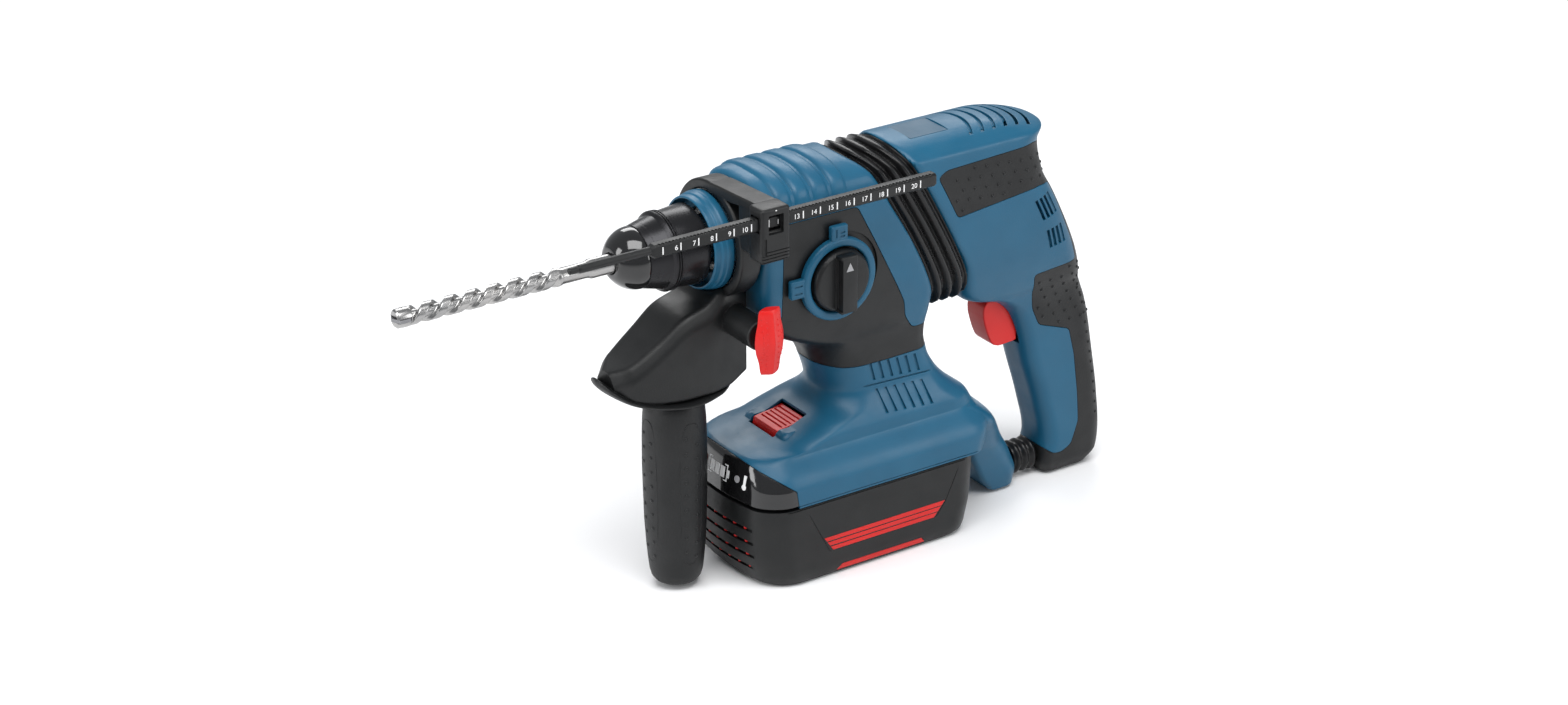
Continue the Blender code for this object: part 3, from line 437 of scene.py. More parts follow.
def housing(stations, inset=0.0, ends=0.0, count=168, pitch=1.6):
    """A smooth solid through the stations, drawn in by an inset at the sides and by ends at both ends."""
    rows = dense_rows(stations, pitch)
    top, bottom = rows[0][0] - ends, rows[-1][0] + ends
    kept = [row for row in rows if bottom <= row[0] <= top]
    return loft([dense_loop(row, inset, count) for row in kept])


def surface_tree(mesh):
    """A search tree over a mesh in tool millimetres."""
    sheet = bmesh.new()
    sheet.from_mesh(mesh)
    tree = BVHTree.FromBMesh(sheet)
    sheet.free()
    return tree


def studs(tree, spots, radius, height, sink=0.15):
    """Small domes at the spots where rays meet a surface. A spot is a start point and a direction."""
    points, faces = [], []
    for start, direction in spots:
        hit, normal, _, _ = tree.ray_cast(Vector(start), Vector(direction))
        if hit is None:
            continue
        normal = normal if normal.dot(Vector(direction)) < 0 else -normal
        across = normal.orthogonal().normalized()
        other = normal.cross(across)
        first = len(points)
        base = hit - normal * sink
        for share, lift in ((1.0, 0.0), (0.8, 0.62), (0.45, 0.92)):
            for side in range(8):
                angle = 2 * math.pi * side / 8
                points.append(
                    base + (across * math.cos(angle) + other * math.sin(angle)) * radius * share
                    + normal * (height + sink) * lift
                )
        points.append(base + normal * (height + sink))
        for ring in range(2):
            low = first + 8 * ring
            faces += [(low + i, low + (i + 1) % 8, low + 8 + (i + 1) % 8, low + 8 + i) for i in range(8)]
        faces += [(first + 16 + i, first + 16 + (i + 1) % 8, first + 24) for i in range(8)]
        faces.append(tuple(range(first, first + 8)))
    return mesh_of(points, faces)


def inside(outline, x, z):
    """Whether a point lies in a side outline."""
    result = False
    for (x1, z1), (x2, z2) in zip(outline, outline[1:] + outline[:1]):
        if (z1 > z) != (z2 > z) and x < (x2 - x1) * (z - z1) / (z2 - z1) + x1:
            result = not result
    return result


# Objects.
def show(name, mesh, material, body=None, nodes=(), angle=32, bevel=0.0):
    """A finished piece on its body, standing for the CAD nodes that it replaces."""
    mesh.transform(Matrix.Scale(MM, 4) @ Matrix.Translation(ROOT))
    mesh.name = name
    mesh.shade_smooth()
    mesh.set_sharp_from_angle(angle=math.radians(angle))
    mesh.materials.clear()
    mesh.materials.append(material)
    obj = bpy.data.objects.new(name, mesh)
    bpy.context.scene.collection.objects.link(obj)
    if bevel:
        modifier = obj.modifiers.new("edges", "BEVEL")
        modifier.width, modifier.segments, modifier.limit_method = bevel * MM, 3, "ANGLE"
        modifier.angle_limit = math.radians(40)
    if body:
        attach(obj, body)
    if nodes:
        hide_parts(*nodes)
    return obj


def top_line_prism(above):
    """Everything above or below the line between the black housing and the blue foot."""
    line = [(x, z - (GAP if above else 0)) for x, z in FOOT_TOP_LINE]
    edge = [(220, 80), (50, 80)] if above else [(220, -200), (50, -200)]
    return prism([*line, *edge], -FAR, FAR)


def rib_arch(x):
    """A soft cross rib that follows the top of the gear cover and fades out at its ends."""
    ys = [-27.9, -27, -25, -22.5, -19.5, -16.5, -13.5, -10, -7, -3.5]
    ys = ys + [0] + [-y for y in ys[::-1]]
    heights = {27.9: 17.6, 27: 20.3, 25: 23.9, 22.5: 26, 19.5: 27.95, 16.5: 29.3, 13.5: 30.25, 10: 31,
               7: 31.35, 3.5: 31.5, 0: 31.55}
    loops = []
    for offset, rise in ((-5, -0.35), (-4.5, 0.2), (-3.9, 0.95), (-3.1, 1.45), (-2, 1.68), (2, 1.68),
                         (3.1, 1.45), (3.9, 0.95), (4.5, 0.2),
                         (5, -0.35)):
        top, under = [], []
        for y in ys:
            z = heights[abs(y)]
            fade = min(1, (28.5 - abs(y)) / 4)
            lift = rise * fade if rise > 0 else rise
            grow = 1 + lift / math.hypot(y, z)
            top.append((x + offset, y * grow, z * grow))
            under.append((x + offset, y * 0.95, z * 0.95))
        loops.append(top + under[::-1])
    return loft(loops)


def front_housings():
    """The ribbed cover, the black gear housing below it and the collar in front."""
    solid = housing(FRONT_BODY)
    hollow = housing(FRONT_BODY, WALL, WALL, count=60, pitch=4)
    collar_hole = turned("x", (0, 0, 0), [(40, 0), (40, 23.2), (100, 23.2), (100, 0)])
    region = softened(COVER_REGION, 2.5)
    cover = common(solid, prism(region, -FAR, FAR))
    cover = cut(cover, housing(FRONT_BODY, SKIN, SKIN, count=84, pitch=3))
    for x in RIB_XS:
        cover = joined(cover, rib_arch(x))
    dashes = [block((x - 4.5, -29.6, z - 0.5), (x + 4.5, -26, z + 0.5), 0.4) for x,
              z in ((99, 14.5), (112, 18.5))]
    cover = joined(cut(cover, collar_hole), *dashes)
    show("gear_cover_shell", cover, BLUE, "front_housing", ["gear_cover"])

    dial_room = turned("y", (DIAL.x, 0, DIAL.z), [(-60, 0), (-60, 6.6), (-20, 6.6), (-20, 0)], 48)
    crescent = turned("y", (DIAL.x + 3.2, 0, DIAL.z + 0.6),
                      [(-60, 18), (-60, 22.6), (-28.2, 22.6), (-28.2, 18)], 72)
    crescent = common(crescent, block((DIAL.x + 2, -60, -60), (DIAL.x + 40, 0, 20)))
    body = cut(housing(FRONT_BODY, 0.12), top_line_prism(False))
    pocket = common(housing(FRONT_BODY, -2, -2, count=84, pitch=3), prism(grown(region, GAP), -FAR, FAR))
    pocket = cut(pocket, housing(FRONT_BODY, 2.15, 2.15, count=84, pitch=3))
    seams = [prism([(84, -41), (164, -52), (164, -52.6), (84, -41.6)], low, high) for low,
             high in ((-31, -28.9), (28.9, 31))]
    body = cut(body, hollow, pocket, collar_hole, dial_room, crescent, *seams)
    show("gear_housing_shell", body, BLACK, "front_housing", ["gear_housing_left", "gear_housing_right"])

    profile = [(46, 22.4), (46, 23.2), (46.5, 23.7), (49.4, 23.8), (50.2, 24.6), (52.2, 24.8),
               (52.8, 25.2), (56, 25.2),
               (56.6, 22.5), (80, 22.5), (80, 16.9), (54.6, 16.9), (54.6, 22.4)]
    show("front_collar_ring", turned("x", (0, 0, 0), rounded(profile, 0.35), 128), BLUE, "front_housing",
         ["front_collar", "spindle_tube"])


def section_at(stations, z):
    for above, below in zip(stations, stations[1:]):
        if above[0] >= z >= below[0]:
            share = (above[0] - z) / (above[0] - below[0])
            return [a + share * (b - a) for a, b in zip(above, below)]
    return stations[0] if z > stations[0][0] else stations[-1]


def joint_outline(inset):
    """The outline (y, z) of the soft joint between the housings."""
    half = [(0, 31), (3.5, 30.95), (7, 30.8), (10, 30.3), (13, 29.4), (16.4, 28.3), (19.5, 27),
            (22.6, 25.2), (25, 23),
            (26.4, 19.5), (27.2, 15), (27.8, 8), (28, 0), (28.1, -8), (28, -16), (28, -24), (27.6, -32),
            (27, -40),
            (26, -46.5), (24.5, -52), (21.6, -56.8), (17, -60), (9, -60.9), (0, -61)]
    outline = half + [(-y, z) for y, z in half[-2:0:-1]]
    return [(y * (1 - inset / 28), -15 + (z + 15) * (1 - inset / 46)) for y, z in outline]


def bellows_row(share, inset):
    """A loop round the joint; the share runs from 0 to 1 across it."""
    loop = []
    for y, z in joint_outline(inset):
        front = section_at(FRONT_BODY[3:], z)[2] + 0.4
        rear = section_at(REAR_BODY[3:], max(z, -54))[1] - 0.4
        loop.append((front + share * (rear - front), y, z))
    return loop


def upper_bellows():
    """The folds between the housings, which follow both bodies."""
    shares = np.linspace(0, 1, 49)
    outer, inner = [], []
    for share in shares:
        wave = 0.5 - 0.5 * math.cos(2 * math.pi * (share * 3.5 - 0.25))
        inset = 3.0 * (1 - wave ** 0.7) - 0.4 if 0.02 < share < 0.98 else 1.0
        outer.append(bellows_row(share, inset))
        inner.append(bellows_row(share, inset + 2.2))
    obj = show("upper_bellows_folds", loft(outer + inner[::-1], closed=True), BELLOWS, None, (),
               angle=60)
    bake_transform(obj)
    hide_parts("upper_bellows")


def latch_block(inset):
    """The raised block that the latch button sits in."""
    rows = [(-110.6 - inset, 91.5, 112, 17), (-112 - inset, 89.5, 114, 18.4), (-120, 86.5, 116, 22),
            (-128, 84, 116, 28)]
    return loft([dense_loop((z, f, r, h, 3, 3, 0), inset, 96) for z, f, r, h in rows])


def foot():
    """The blue foot with its hook, latch walls and side grooves."""
    solid = joined(housing(FOOT), housing(HOOK, count=140), latch_block(0))
    inner = joined(housing(FOOT, WALL, 3.4, count=84, pitch=3),
                   housing(HOOK, WALL, 3.4, count=84, pitch=3), latch_block(3))
    pocket = block((87.6, -11.3, -130), (108.6, 11.3, -100))
    slot = block((112, -22, -150), (170, 22, -130))
    panel = prism(grown(PANEL_REGION, GAP), -FAR, FAR)
    wire_hole = turned("x", (0, 0, LOWER_JOINT_Z), [(238, 0), (238, 5), (260, 5), (260, 0)], 32)
    shell = cut(solid, inner, top_line_prism(True), pocket, slot, panel, wire_hole)
    grooves = []
    for side in (-1, 1):
        for row_x, row_z, count, length, pitch in ((140, -81.5, 6, 10, 5.6), (143.5, -96.5, 6, 12, 5.6)):
            for index in range(count):
                x = row_x + pitch * index
                z = row_z - 0.35 * index
                outline = [(x - 0.85, z), (x + 0.85, z), (x + 3.6, z - length), (x + 1.9, z - length)]
                half_top = section_at(FOOT, z)[3] - 1.2
                half_low = section_at(FOOT, z - length)[3] - 1.2
                loops = []
                for reach in (0, 12):
                    loops.append([
                        (outline[0][0], side * (half_top + reach), outline[0][1]),
                        (outline[1][0], side * (half_top + reach), outline[1][1]),
                        (outline[2][0], side * (half_low + reach), outline[2][1]),
                        (outline[3][0], side * (half_low + reach), outline[3][1]),
                    ])
                grooves.append(loft(loops))
        ridge_z = -94.5
        half = section_at(FOOT, ridge_z)[3]
        low, high = sorted((side * (half - 0.9), side * (half + 8)))
        grooves.append(prism([(128, ridge_z + 1.6), (186, ridge_z - 0.4), (186, ridge_z - 1.2),
                              (128, ridge_z + 0.8)], low, high))
    shell = cut(shell, *grooves)
    seam = [prism([(50, -139.2), (212, -139.2), (212, -139.6), (50, -139.6)], low, high) for low,
            high in ((-43, -41.4), (41.4, 43))]
    show("foot_shell", cut(shell, *seam), BLUE, "front_housing", ["foot_left", "foot_right"])


def latch():
    """The red latch button with its ridges and grain."""
    outline = [(90.6, -111.3), (95.5, -110.6), (100, -110.1), (104, -109.4), (107.9, -108.6),
               (107.9, -121), (88.4, -121),
               (88.5, -119)]
    button = prism(outline, -10.8, 10.8)
    for index in range(5):
        x = 94 + 2.7 * index
        top = -110.9 + 0.16 * (x - 94)
        button = cut(button, block((x, -9.4, top - 0.7), (x + 0.9, 9.4, top + 1.5)))
    show("latch_button_cap", button, RED, "latch_button", ["latch_button"], bevel=0.5)
    tree = surface_tree(prism(outline, -10.8, 10.8))
    spots = []
    for row in range(4):
        for column in range(9):
            y = -8 + 2 * column + (1 if row % 2 else 0)
            spots.append(((60, y, -112.6 - 1.7 * row), (1, 0, 0)))
    show("latch_button_grain", studs(tree, spots, 0.45, 0.3), RED, "latch_button", (),
         angle=60)


def battery():
    """The battery case with its label rims, red stripes and front slots."""
    solid = housing(BATTERY, 0.12, count=220)
    hollow = housing(BATTERY, 2.6, 2.6, count=84, pitch=4)
    cutters = [hollow, block((90, -36, -150), (185, 36, -130))]
    label = softened([(89, -144.6), (184, -142.6), (175, -162), (169, -169.8), (102, -169.8),
                      (97.7, -161.5)], 1.5)
    for low, high in ((-45, -42.1), (42.1, 45)):
        rim = cut(prism(grown(label, 0.45), low, high), prism(label, low - 1, high + 1))
        cutters.append(rim)
    bottom_strip = [(104.6, -187), (166, -187), (161, -180), (110.5, -180)]
    for low, high in ((-45, -39.6), (39.6, 45)):
        cutters.append(prism(bottom_strip, low, high))
    for row in range(4):
        z = -152.5 - 7.6 * row
        cutters.append(block((50, -30, z - 0.9), (62.5 + 0.8 * row, 30, z + 0.9)))
    cutters.append(prism([(50, -141.4), (205, -141.4), (205, -142), (50, -142)], -50, -41.2))
    show("battery_shell", cut(solid, *cutters), BLACK, "battery", ["battery_case"])
    strips = []
    for low, high in ((-41.2, -36), (36, 41.2)):
        strips.append(prism([(104.9, -185.9), (165.7, -185.9), (160.8, -180.3), (110.7, -180.3)], low,
                            high))
    strip = common(merged(strips), housing(BATTERY, 0.15, 0.1, count=120, pitch=3))
    show("battery_base_strips", strip, RED, "battery", ())
    stripes = []
    for side in (-1, 1):
        for index in range(3):
            z = -161.8 - 2.9 * index
            start, end = 98.5 + 2.0 * index, 174.8 - 2.4 * index
            low, high = sorted((side * 41.4, side * 42.48))
            stripes.append(prism([(start, z), (end, z + 0.2), (end - 2.0, z - 2.2),
                                  (start + 1.6, z - 2.2)], low, high))
    body_skin = housing(BATTERY, 0.02, 0.02, count=200)
    stripes = common(merged(stripes), body_skin)
    show("battery_side_stripes", stripes, RED, "battery", ())
    dots = []
    for row in range(4):
        for column in range(7):
            dots.append(((40, -24 + 8 * column, -152.5 - 7.6 * row), (1, 0, 0)))
    tree = surface_tree(housing(BATTERY, 1.4, 0.5, count=120, pitch=3))
    show("battery_vent_dots", studs(tree, dots, 1.3, 0.9, 0.5), RED, "battery", (), angle=60)


def battery_panel():
    """The dark front panel with its charge button, gauge and lamp."""
    panel = cut(housing(FOOT, 0.05, 0.05, count=220), housing(FOOT, 9, -2, count=84, pitch=3))
    panel = common(panel, prism(softened(PANEL_REGION, 1.0), -FAR, FAR))
    hole = turned("x", (0, 14, -128), [(40, 0), (40, 3.4), (80, 3.4), (80, 0)], 48)
    show("battery_panel_face", cut(panel, hole), GLOSS, "battery", ["battery_panel"])
    cap = rounded([(59.6, 0), (59.6, 2.4), (60.6, 3), (67, 3), (67, 0)], 0.5)
    show("charge_button_cap", turned("x", (0, 14, -128), cap, 48), RED, "charge_button",
         ["charge_button"])
    marks = []

    def plate(outline, depth=0.12):
        """A thin printed shape (y, z) on the panel's curved front."""
        front = []
        for y, z in outline:
            x = section_at(FOOT, z)[1] + 7 * (y / 41) ** 2 - depth
            front.append((x, y, z))
        back = [(x + 1.2, y, z) for x, y, z in front]
        return loft([front, back])

    for low_y, high_y, low_z, high_z in ((-9.2, 7.4, -124.1, -123.5), (-9.2, 7.4, -132.5, -131.9),
                                         (6.8, 7.4, -131.9, -124.1),
                                         (-9.2, -8.6, -131.9, -124.1), (-10.8, -9.2, -130, -126)):
        marks.append(plate([(low_y, low_z), (high_y, low_z), (high_y, high_z), (low_y, high_z)]))
    for index in range(3):
        y = 5.6 - 4.5 * index
        marks.append(plate([(y - 3.6, -130.9), (y, -130.9), (y, -125.1), (y - 3.6, -125.1)]))
    circle = [(-17 + 1.9 * math.cos(a), -128 + 1.9 * math.sin(a))
              for a in np.linspace(0, 2 * math.pi, 24, endpoint=False)]
    bulb = [(-22.6 + 1.5 * math.cos(a), -130.6 + 1.5 * math.sin(a))
            for a in np.linspace(0, 2 * math.pi, 20, endpoint=False)]
    stem = [(-23.4, -130), (-21.8, -130), (-21.8, -124.4), (-23.4, -124.4)]
    show("panel_marks", merged(marks), WHITE, "battery", ())
    show("panel_lamp", merged([plate(circle)]), SCREEN, "battery", ())
    show("panel_heat_mark", merged([plate(bulb, 0.14), plate(stem, 0.12)]), WHITE, "battery", ())


def rear_handle():
    """The blue handle shells with their vents, and the dimpled rubber pads."""
    solid = housing(REAR_BODY)
    region = softened(GRIP_REGION, 2.2)
    wire_hole = turned("x", (0, 0, LOWER_JOINT_Z), [(250, 0), (250, 5), (275, 5), (275, 0)], 32)
    inner_skin = housing(REAR_BODY, SKIN, SKIN, count=100, pitch=3)
    rubber = cut(common(housing(REAR_BODY, 0.1), prism(region, -FAR, FAR)), inner_skin, wire_hole)
    rubber_tree = surface_tree(rubber)
    show("grip_rubber_pads", rubber, RUBBER, "rear_handle", ["grip_rubber"])

    pocket = common(housing(REAR_BODY, -2, -2, count=84, pitch=3), prism(grown(region, GAP), -FAR, FAR))
    pocket = cut(pocket, housing(REAR_BODY, 2.15, 2.15, count=84, pitch=3))
    cutters = [pocket, wire_hole, block((205, -8.3, -103.2), (258, 8.3, -65)),
               housing(REAR_BODY, 3.3, 3.3, count=84, pitch=3)]
    for side in (-1, 1):
        for corner, down, along in (((240.5, -13.6), (6.4, -12.4), (9.6, 2.6)),
                                    ((249.6, -32.4), (3.4, -11), (9.8, 1.8))):
            for index in range(4):
                share = index / 3.4
                x, z = corner[0] + along[0] * share, corner[1] + along[1] * share
                outline = [(x, z), (x + 1.7, z + 0.4), (x + 1.7 + down[0], z + 0.4 + down[1]),
                           (x + down[0], z + down[1])]
                low, high = sorted((side * 23.8, side * 30))
                cutters.append(prism(outline, low, high))
    shell = cut(solid, *cutters)
    top_tree = surface_tree(solid)
    vents = []
    for index in range(6):
        x = 203.5 + 7.4 * index
        rows = []
        for y in np.linspace(-17.5, 17.5, 21):
            middle = x + 6.5 * (1 - (y / 20) ** 2)
            near, far = [top_tree.ray_cast(Vector((at, y, 80)), Vector((0, 0, -1)))[0].z
                         for at in (middle - 1.1, middle + 1.1)]
            rows.append([(middle - 1.1, y, near - 1.3), (middle + 1.1, y, far - 1.3),
                         (middle + 1.1, y, 50), (middle - 1.1, y, 50)])
        vents.append(loft(rows))
    shell = cut(shell, *vents)
    label = block((172, -10.5, 30.55), (196, 10.5, 33))
    shell = cut(shell, label)
    show("rear_housing_shell", shell, BLUE, "rear_handle", ["rear_housing_left", "rear_housing_right"])
    plaque = block((172.3, -10.2, 29.6), (195.7, 10.2, 30.75), 0.15, 1)
    show("top_plaque", plaque, DARK_BLUE, "rear_handle", ())

    spots = []
    for row in range(12):
        for column in range(60):
            x = 172 + 7.4 * column + (3.7 if row % 2 else 0)
            z = 14 - 5.6 * row - 0.09 * (x - 200)
            if all(inside(GRIP_REGION, x + dx, z + dz) for dx in (-2.4, 2.4)
                   for dz in (-2.4, 2.4)) and x < 262 and z > -60:
                spots += [((x, -80, z), (0, 1, 0)), ((x, 80, z), (0, -1, 0))]
    for row in range(12):
        for column in range(12):
            x = 240 + 7.4 * column + (3.7 if row % 2 else 0)
            z = -59 - 5.8 * row
            if all(inside(GRIP_REGION, x + dx, z + dz) for dx in (-2.2, 2.2)
                   for dz in (-2.2, 2.2)) and z > -99 and x < 292:
                spots += [((x, -80, z), (0, 1, 0)), ((x, 80, z), (0, -1, 0))]
    for row in range(16):
        z = -62 - 6.2 * row
        rear = section_at(REAR_BODY, z)[2]
        for y in (-5.4, 0, 5.4):
            shift = 2.3 if abs(y) > 1 else 0
            spots.append(((rear + 40, y, z - shift), (-1, 0, 0)))
        spots += [((rear - 6, -80, z), (0, 1, 0)), ((rear - 6, 80, z), (0, -1, 0))]
    show("grip_rubber_studs", studs(rubber_tree, spots, 1.0, 0.62), RUBBER, "rear_handle", (),
         angle=60)


def lower_bellows():
    """The small folds between the hook and the handle."""
    profile = []
    for step in range(37):
        x = 247.9 + 14.9 * step / 36
        profile.append((x, 8.35 - 0.95 * math.cos(2 * math.pi * (x - 247.9) / 4.97)))
    profile += [(x, 5.4) for x, _ in profile[::-1]]
    obj = show("lower_bellows_folds", turned("x", (0, 0, LOWER_JOINT_Z), profile, 64), BELLOWS, None, (),
               angle=60)
    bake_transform(obj)
    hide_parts("lower_bellows")


def trigger():
    """The trigger and the direction lever above it."""
    outline = [(226.4, -74.2), (224.4, -77), (224, -80), (224.3, -84), (225.7, -89), (227.4, -94),
               (229.4, -98.4),
               (231.6, -100.8), (235, -101.9), (240, -101.6), (246.4, -101.1), (246.4, -74.2)]
    body = prism(softened(outline, 0.8, 2), -7.4, 7.4)
    show("trigger_paddle", body, RED, "trigger", ["trigger"], bevel=1.3)
    ridges = [block((226, -4.3, -71.3), (245.9, 4.3, -67.5), 0.7),
              block((224.6, -3.3, -70.9), (229, 3.3, -64.9), 1.0)]
    lever = joined(*ridges)
    for index in range(4):
        lever = cut(lever, block((224, -4, -70.2 + 1.3 * index), (225.1, 4, -69.7 + 1.3 * index)))
    show("direction_lever_cap", lever, RED, "direction_lever", ["direction_lever"], angle=40)


def chuck():
    """The dust cap and the sleeve that unlocks the bit."""
    xs = np.linspace(0, 1, 20)
    cap = [(0.3, 5.5), (0, 5.9), (0, 7.4)]
    for t in xs[1:]:
        cap.append((13.3 * t ** 1.25, 7.4 + 8.5 * math.sin(t * math.pi / 2) ** 0.9))
    cap += [(13.7, 15.8), (13.8, 15.5), (13.8, 12.4), (4.6, 12.4), (4.6, 5.5)]
    show("dust_cap_dome", turned("x", (0, 0, 0), cap, 128), GLOSS, "spindle", ["dust_cap"])
    sleeve = [(14.2, 12.6), (14.2, 15.6), (14.5, 15.9), (19, 17), (25.2, 18.5), (25.9, 19.7),
              (26.2, 20.1), (26.9, 20.4),
              (27.3, 20.3), (27.5, 19.6), (27.8, 19.6), (28, 20.35), (28.6, 20.35), (28.8, 19.6),
              (29.1, 19.6), (29.3, 20.35),
              (29.9, 20.3), (30.1, 19.5), (30.5, 19.3), (44.6, 20.6), (45.4, 20.4), (45.6, 20),
              (45.6, 18.6), (18, 16.6), (18, 12.6)]
    show("locking_sleeve_shell", turned("x", (0, 0, 0), sleeve, 128), SATIN, "locking_sleeve",
         ["locking_sleeve"], angle=28)


def drill():
    """A drill with two spiral flutes, a head, and a shank held in the chuck."""
    count = 64
    loops = []
    for x in np.linspace(-112.4, -30, 260):
        turn = 2 * math.pi * 3.5 * (x + 112.4) / 82.4
        depth = min(1, max(0, (-30 - x) / 4)) * 2.2
        loop = []
        for index in range(count):
            angle = 2 * math.pi * index / count
            land = min(1, max(0, (abs(math.cos(angle)) - 0.5) / 0.32))
            land = land * land * (3 - 2 * land)
            loop.append(on_axis("x", (0, 0, 0), x, 4.75 - depth * (1 - land), angle + turn))
        loops.append(loop)
    turn = 2 * math.pi * 3.5
    for x, radius in ((-28.6, 4.5), (-27.6, 4.15), (-14.6, 4.1), (-12.6, 4.5), (-11.6, 4.95),
                      (39.4, 4.95), (40, 4.4)):
        loops.append([on_axis("x", (0, 0, 0), x, radius, 2 * math.pi * i / count + turn)
                      for i in range(count)])
    head = [(-118, 0), (-118, 3.9), (-117.2, 4.7), (-112.6, 4.95), (-110.4, 4.4), (-110.4, 0)]
    body = joined(loft(loops), turned("x", (0, 0, 0), head, 48))
    body = cut(body, block((-130, -8, -1.1), (-111, 8, 1.1)))
    show("drill_body", body, STEEL, "drill_bit", ["drill_bit"], angle=40)
    side = [(-119.5, 0.25), (-117.2, 5.1), (-111.6, 5.1)]
    outline = side + [(x, -y) for x, y in side[::-1]]
    tip = loft([[(x, y, z) for x, y in outline] for z in (-0.9, 0.9)])
    show("carbide_tip_blade", tip, CARBIDE, "drill_bit", ["carbide_tip"], bevel=0.12)


def selector():
    """The dial with its bezel, tabs and pointer."""
    ring = rounded([(-0.1, 17.4), (-0.1, 22), (-3.2, 22), (-4.2, 20.9), (-4.2, 18.2), (-3.4, 17.4)], 0.5)
    low, high = DIAL.y - 3.6, DIAL.y - 0.1
    tabs = [block((DIAL.x - 4.9, low, DIAL.z + 19.5), (DIAL.x + 4.9, high, DIAL.z + 28.8), 0.9),
            block((DIAL.x - 29, low, DIAL.z - 4.9), (DIAL.x - 19.6, high, DIAL.z + 4.9), 0.9)]
    bezel = joined(turned("y", DIAL, ring, 96), *tabs)
    bezel = cut(bezel, block((DIAL.x - 2.6, low - 1, DIAL.z + 22.6),
                             (DIAL.x - 1.7, low + 0.5, DIAL.z + 27)),
                block((DIAL.x + 0.4, low - 1, DIAL.z + 22.6), (DIAL.x + 2.9, low + 0.5, DIAL.z + 23.5)),
                block((DIAL.x + 0.4, low - 1, DIAL.z + 24.6), (DIAL.x + 2.9, low + 0.5, DIAL.z + 25.5)),
                block((DIAL.x - 27, low - 1, DIAL.z - 2.6), (DIAL.x - 22.6, low + 0.5, DIAL.z - 1.7)),
                block((DIAL.x - 27, low - 1, DIAL.z + 1.4), (DIAL.x - 22.6, low + 0.5, DIAL.z + 2.3)))
    show("selector_bezel_ring", bezel, BLUE, "front_housing", ["selector_bezel"])
    profile = rounded([(7, 0), (7, 6.2), (-0.3, 6.2), (-0.3, 16.5), (-5.6, 16.3), (-7.3, 15), (-7.3, 0)],
                      0.6)
    knob = turned("y", DIAL, profile, 96)
    bar = block((DIAL.x - 5, DIAL.y - 12.4, DIAL.z - 15.4), (DIAL.x + 5, DIAL.y - 6.6, DIAL.z + 15.4), 0.9)
    knob = joined(knob, bar)
    knob = cut(knob, block((DIAL.x - 5.4, DIAL.y - 14, DIAL.z - 14),
                           (DIAL.x - 4.1, DIAL.y - 8, DIAL.z + 14)))
    show("selector_knob_grip", knob, BLACK, "selector_knob", ["selector_knob"])
    mark = [(DIAL.x - 2.2, DIAL.z + 7.5), (DIAL.x + 2.2, DIAL.z + 7.5), (DIAL.x, DIAL.z + 12)]
    show("selector_pointer", prism(mark, DIAL.y - 12.52, DIAL.y - 12), SCREEN, "selector_knob", ())


def smooth_rows(rows, pitch):
    """Rows of numbers with smooth rows between them."""
    table = np.array(rows, float)
    ts = table[:, 0]
    wanted = np.union1d(np.arange(ts[0], ts[-1], pitch), ts)
    result = [wanted]
    for column in range(1, table.shape[1]):
        values, slope = table[:, column], slopes(ts, table[:, column])
        index = np.clip(np.searchsorted(ts, wanted, side="right") - 1, 0, len(ts) - 2)
        h = ts[index + 1] - ts[index]
        t = (wanted - ts[index]) / h
        result.append((1 + 2 * t) * (1 - t) ** 2 * values[index] + t * (1 - t) ** 2 * h * slope[index]
                      + t * t * (3 - 2 * t) * values[index + 1] + t * t * (t - 1) * h * slope[index + 1])
    return list(zip(*result))


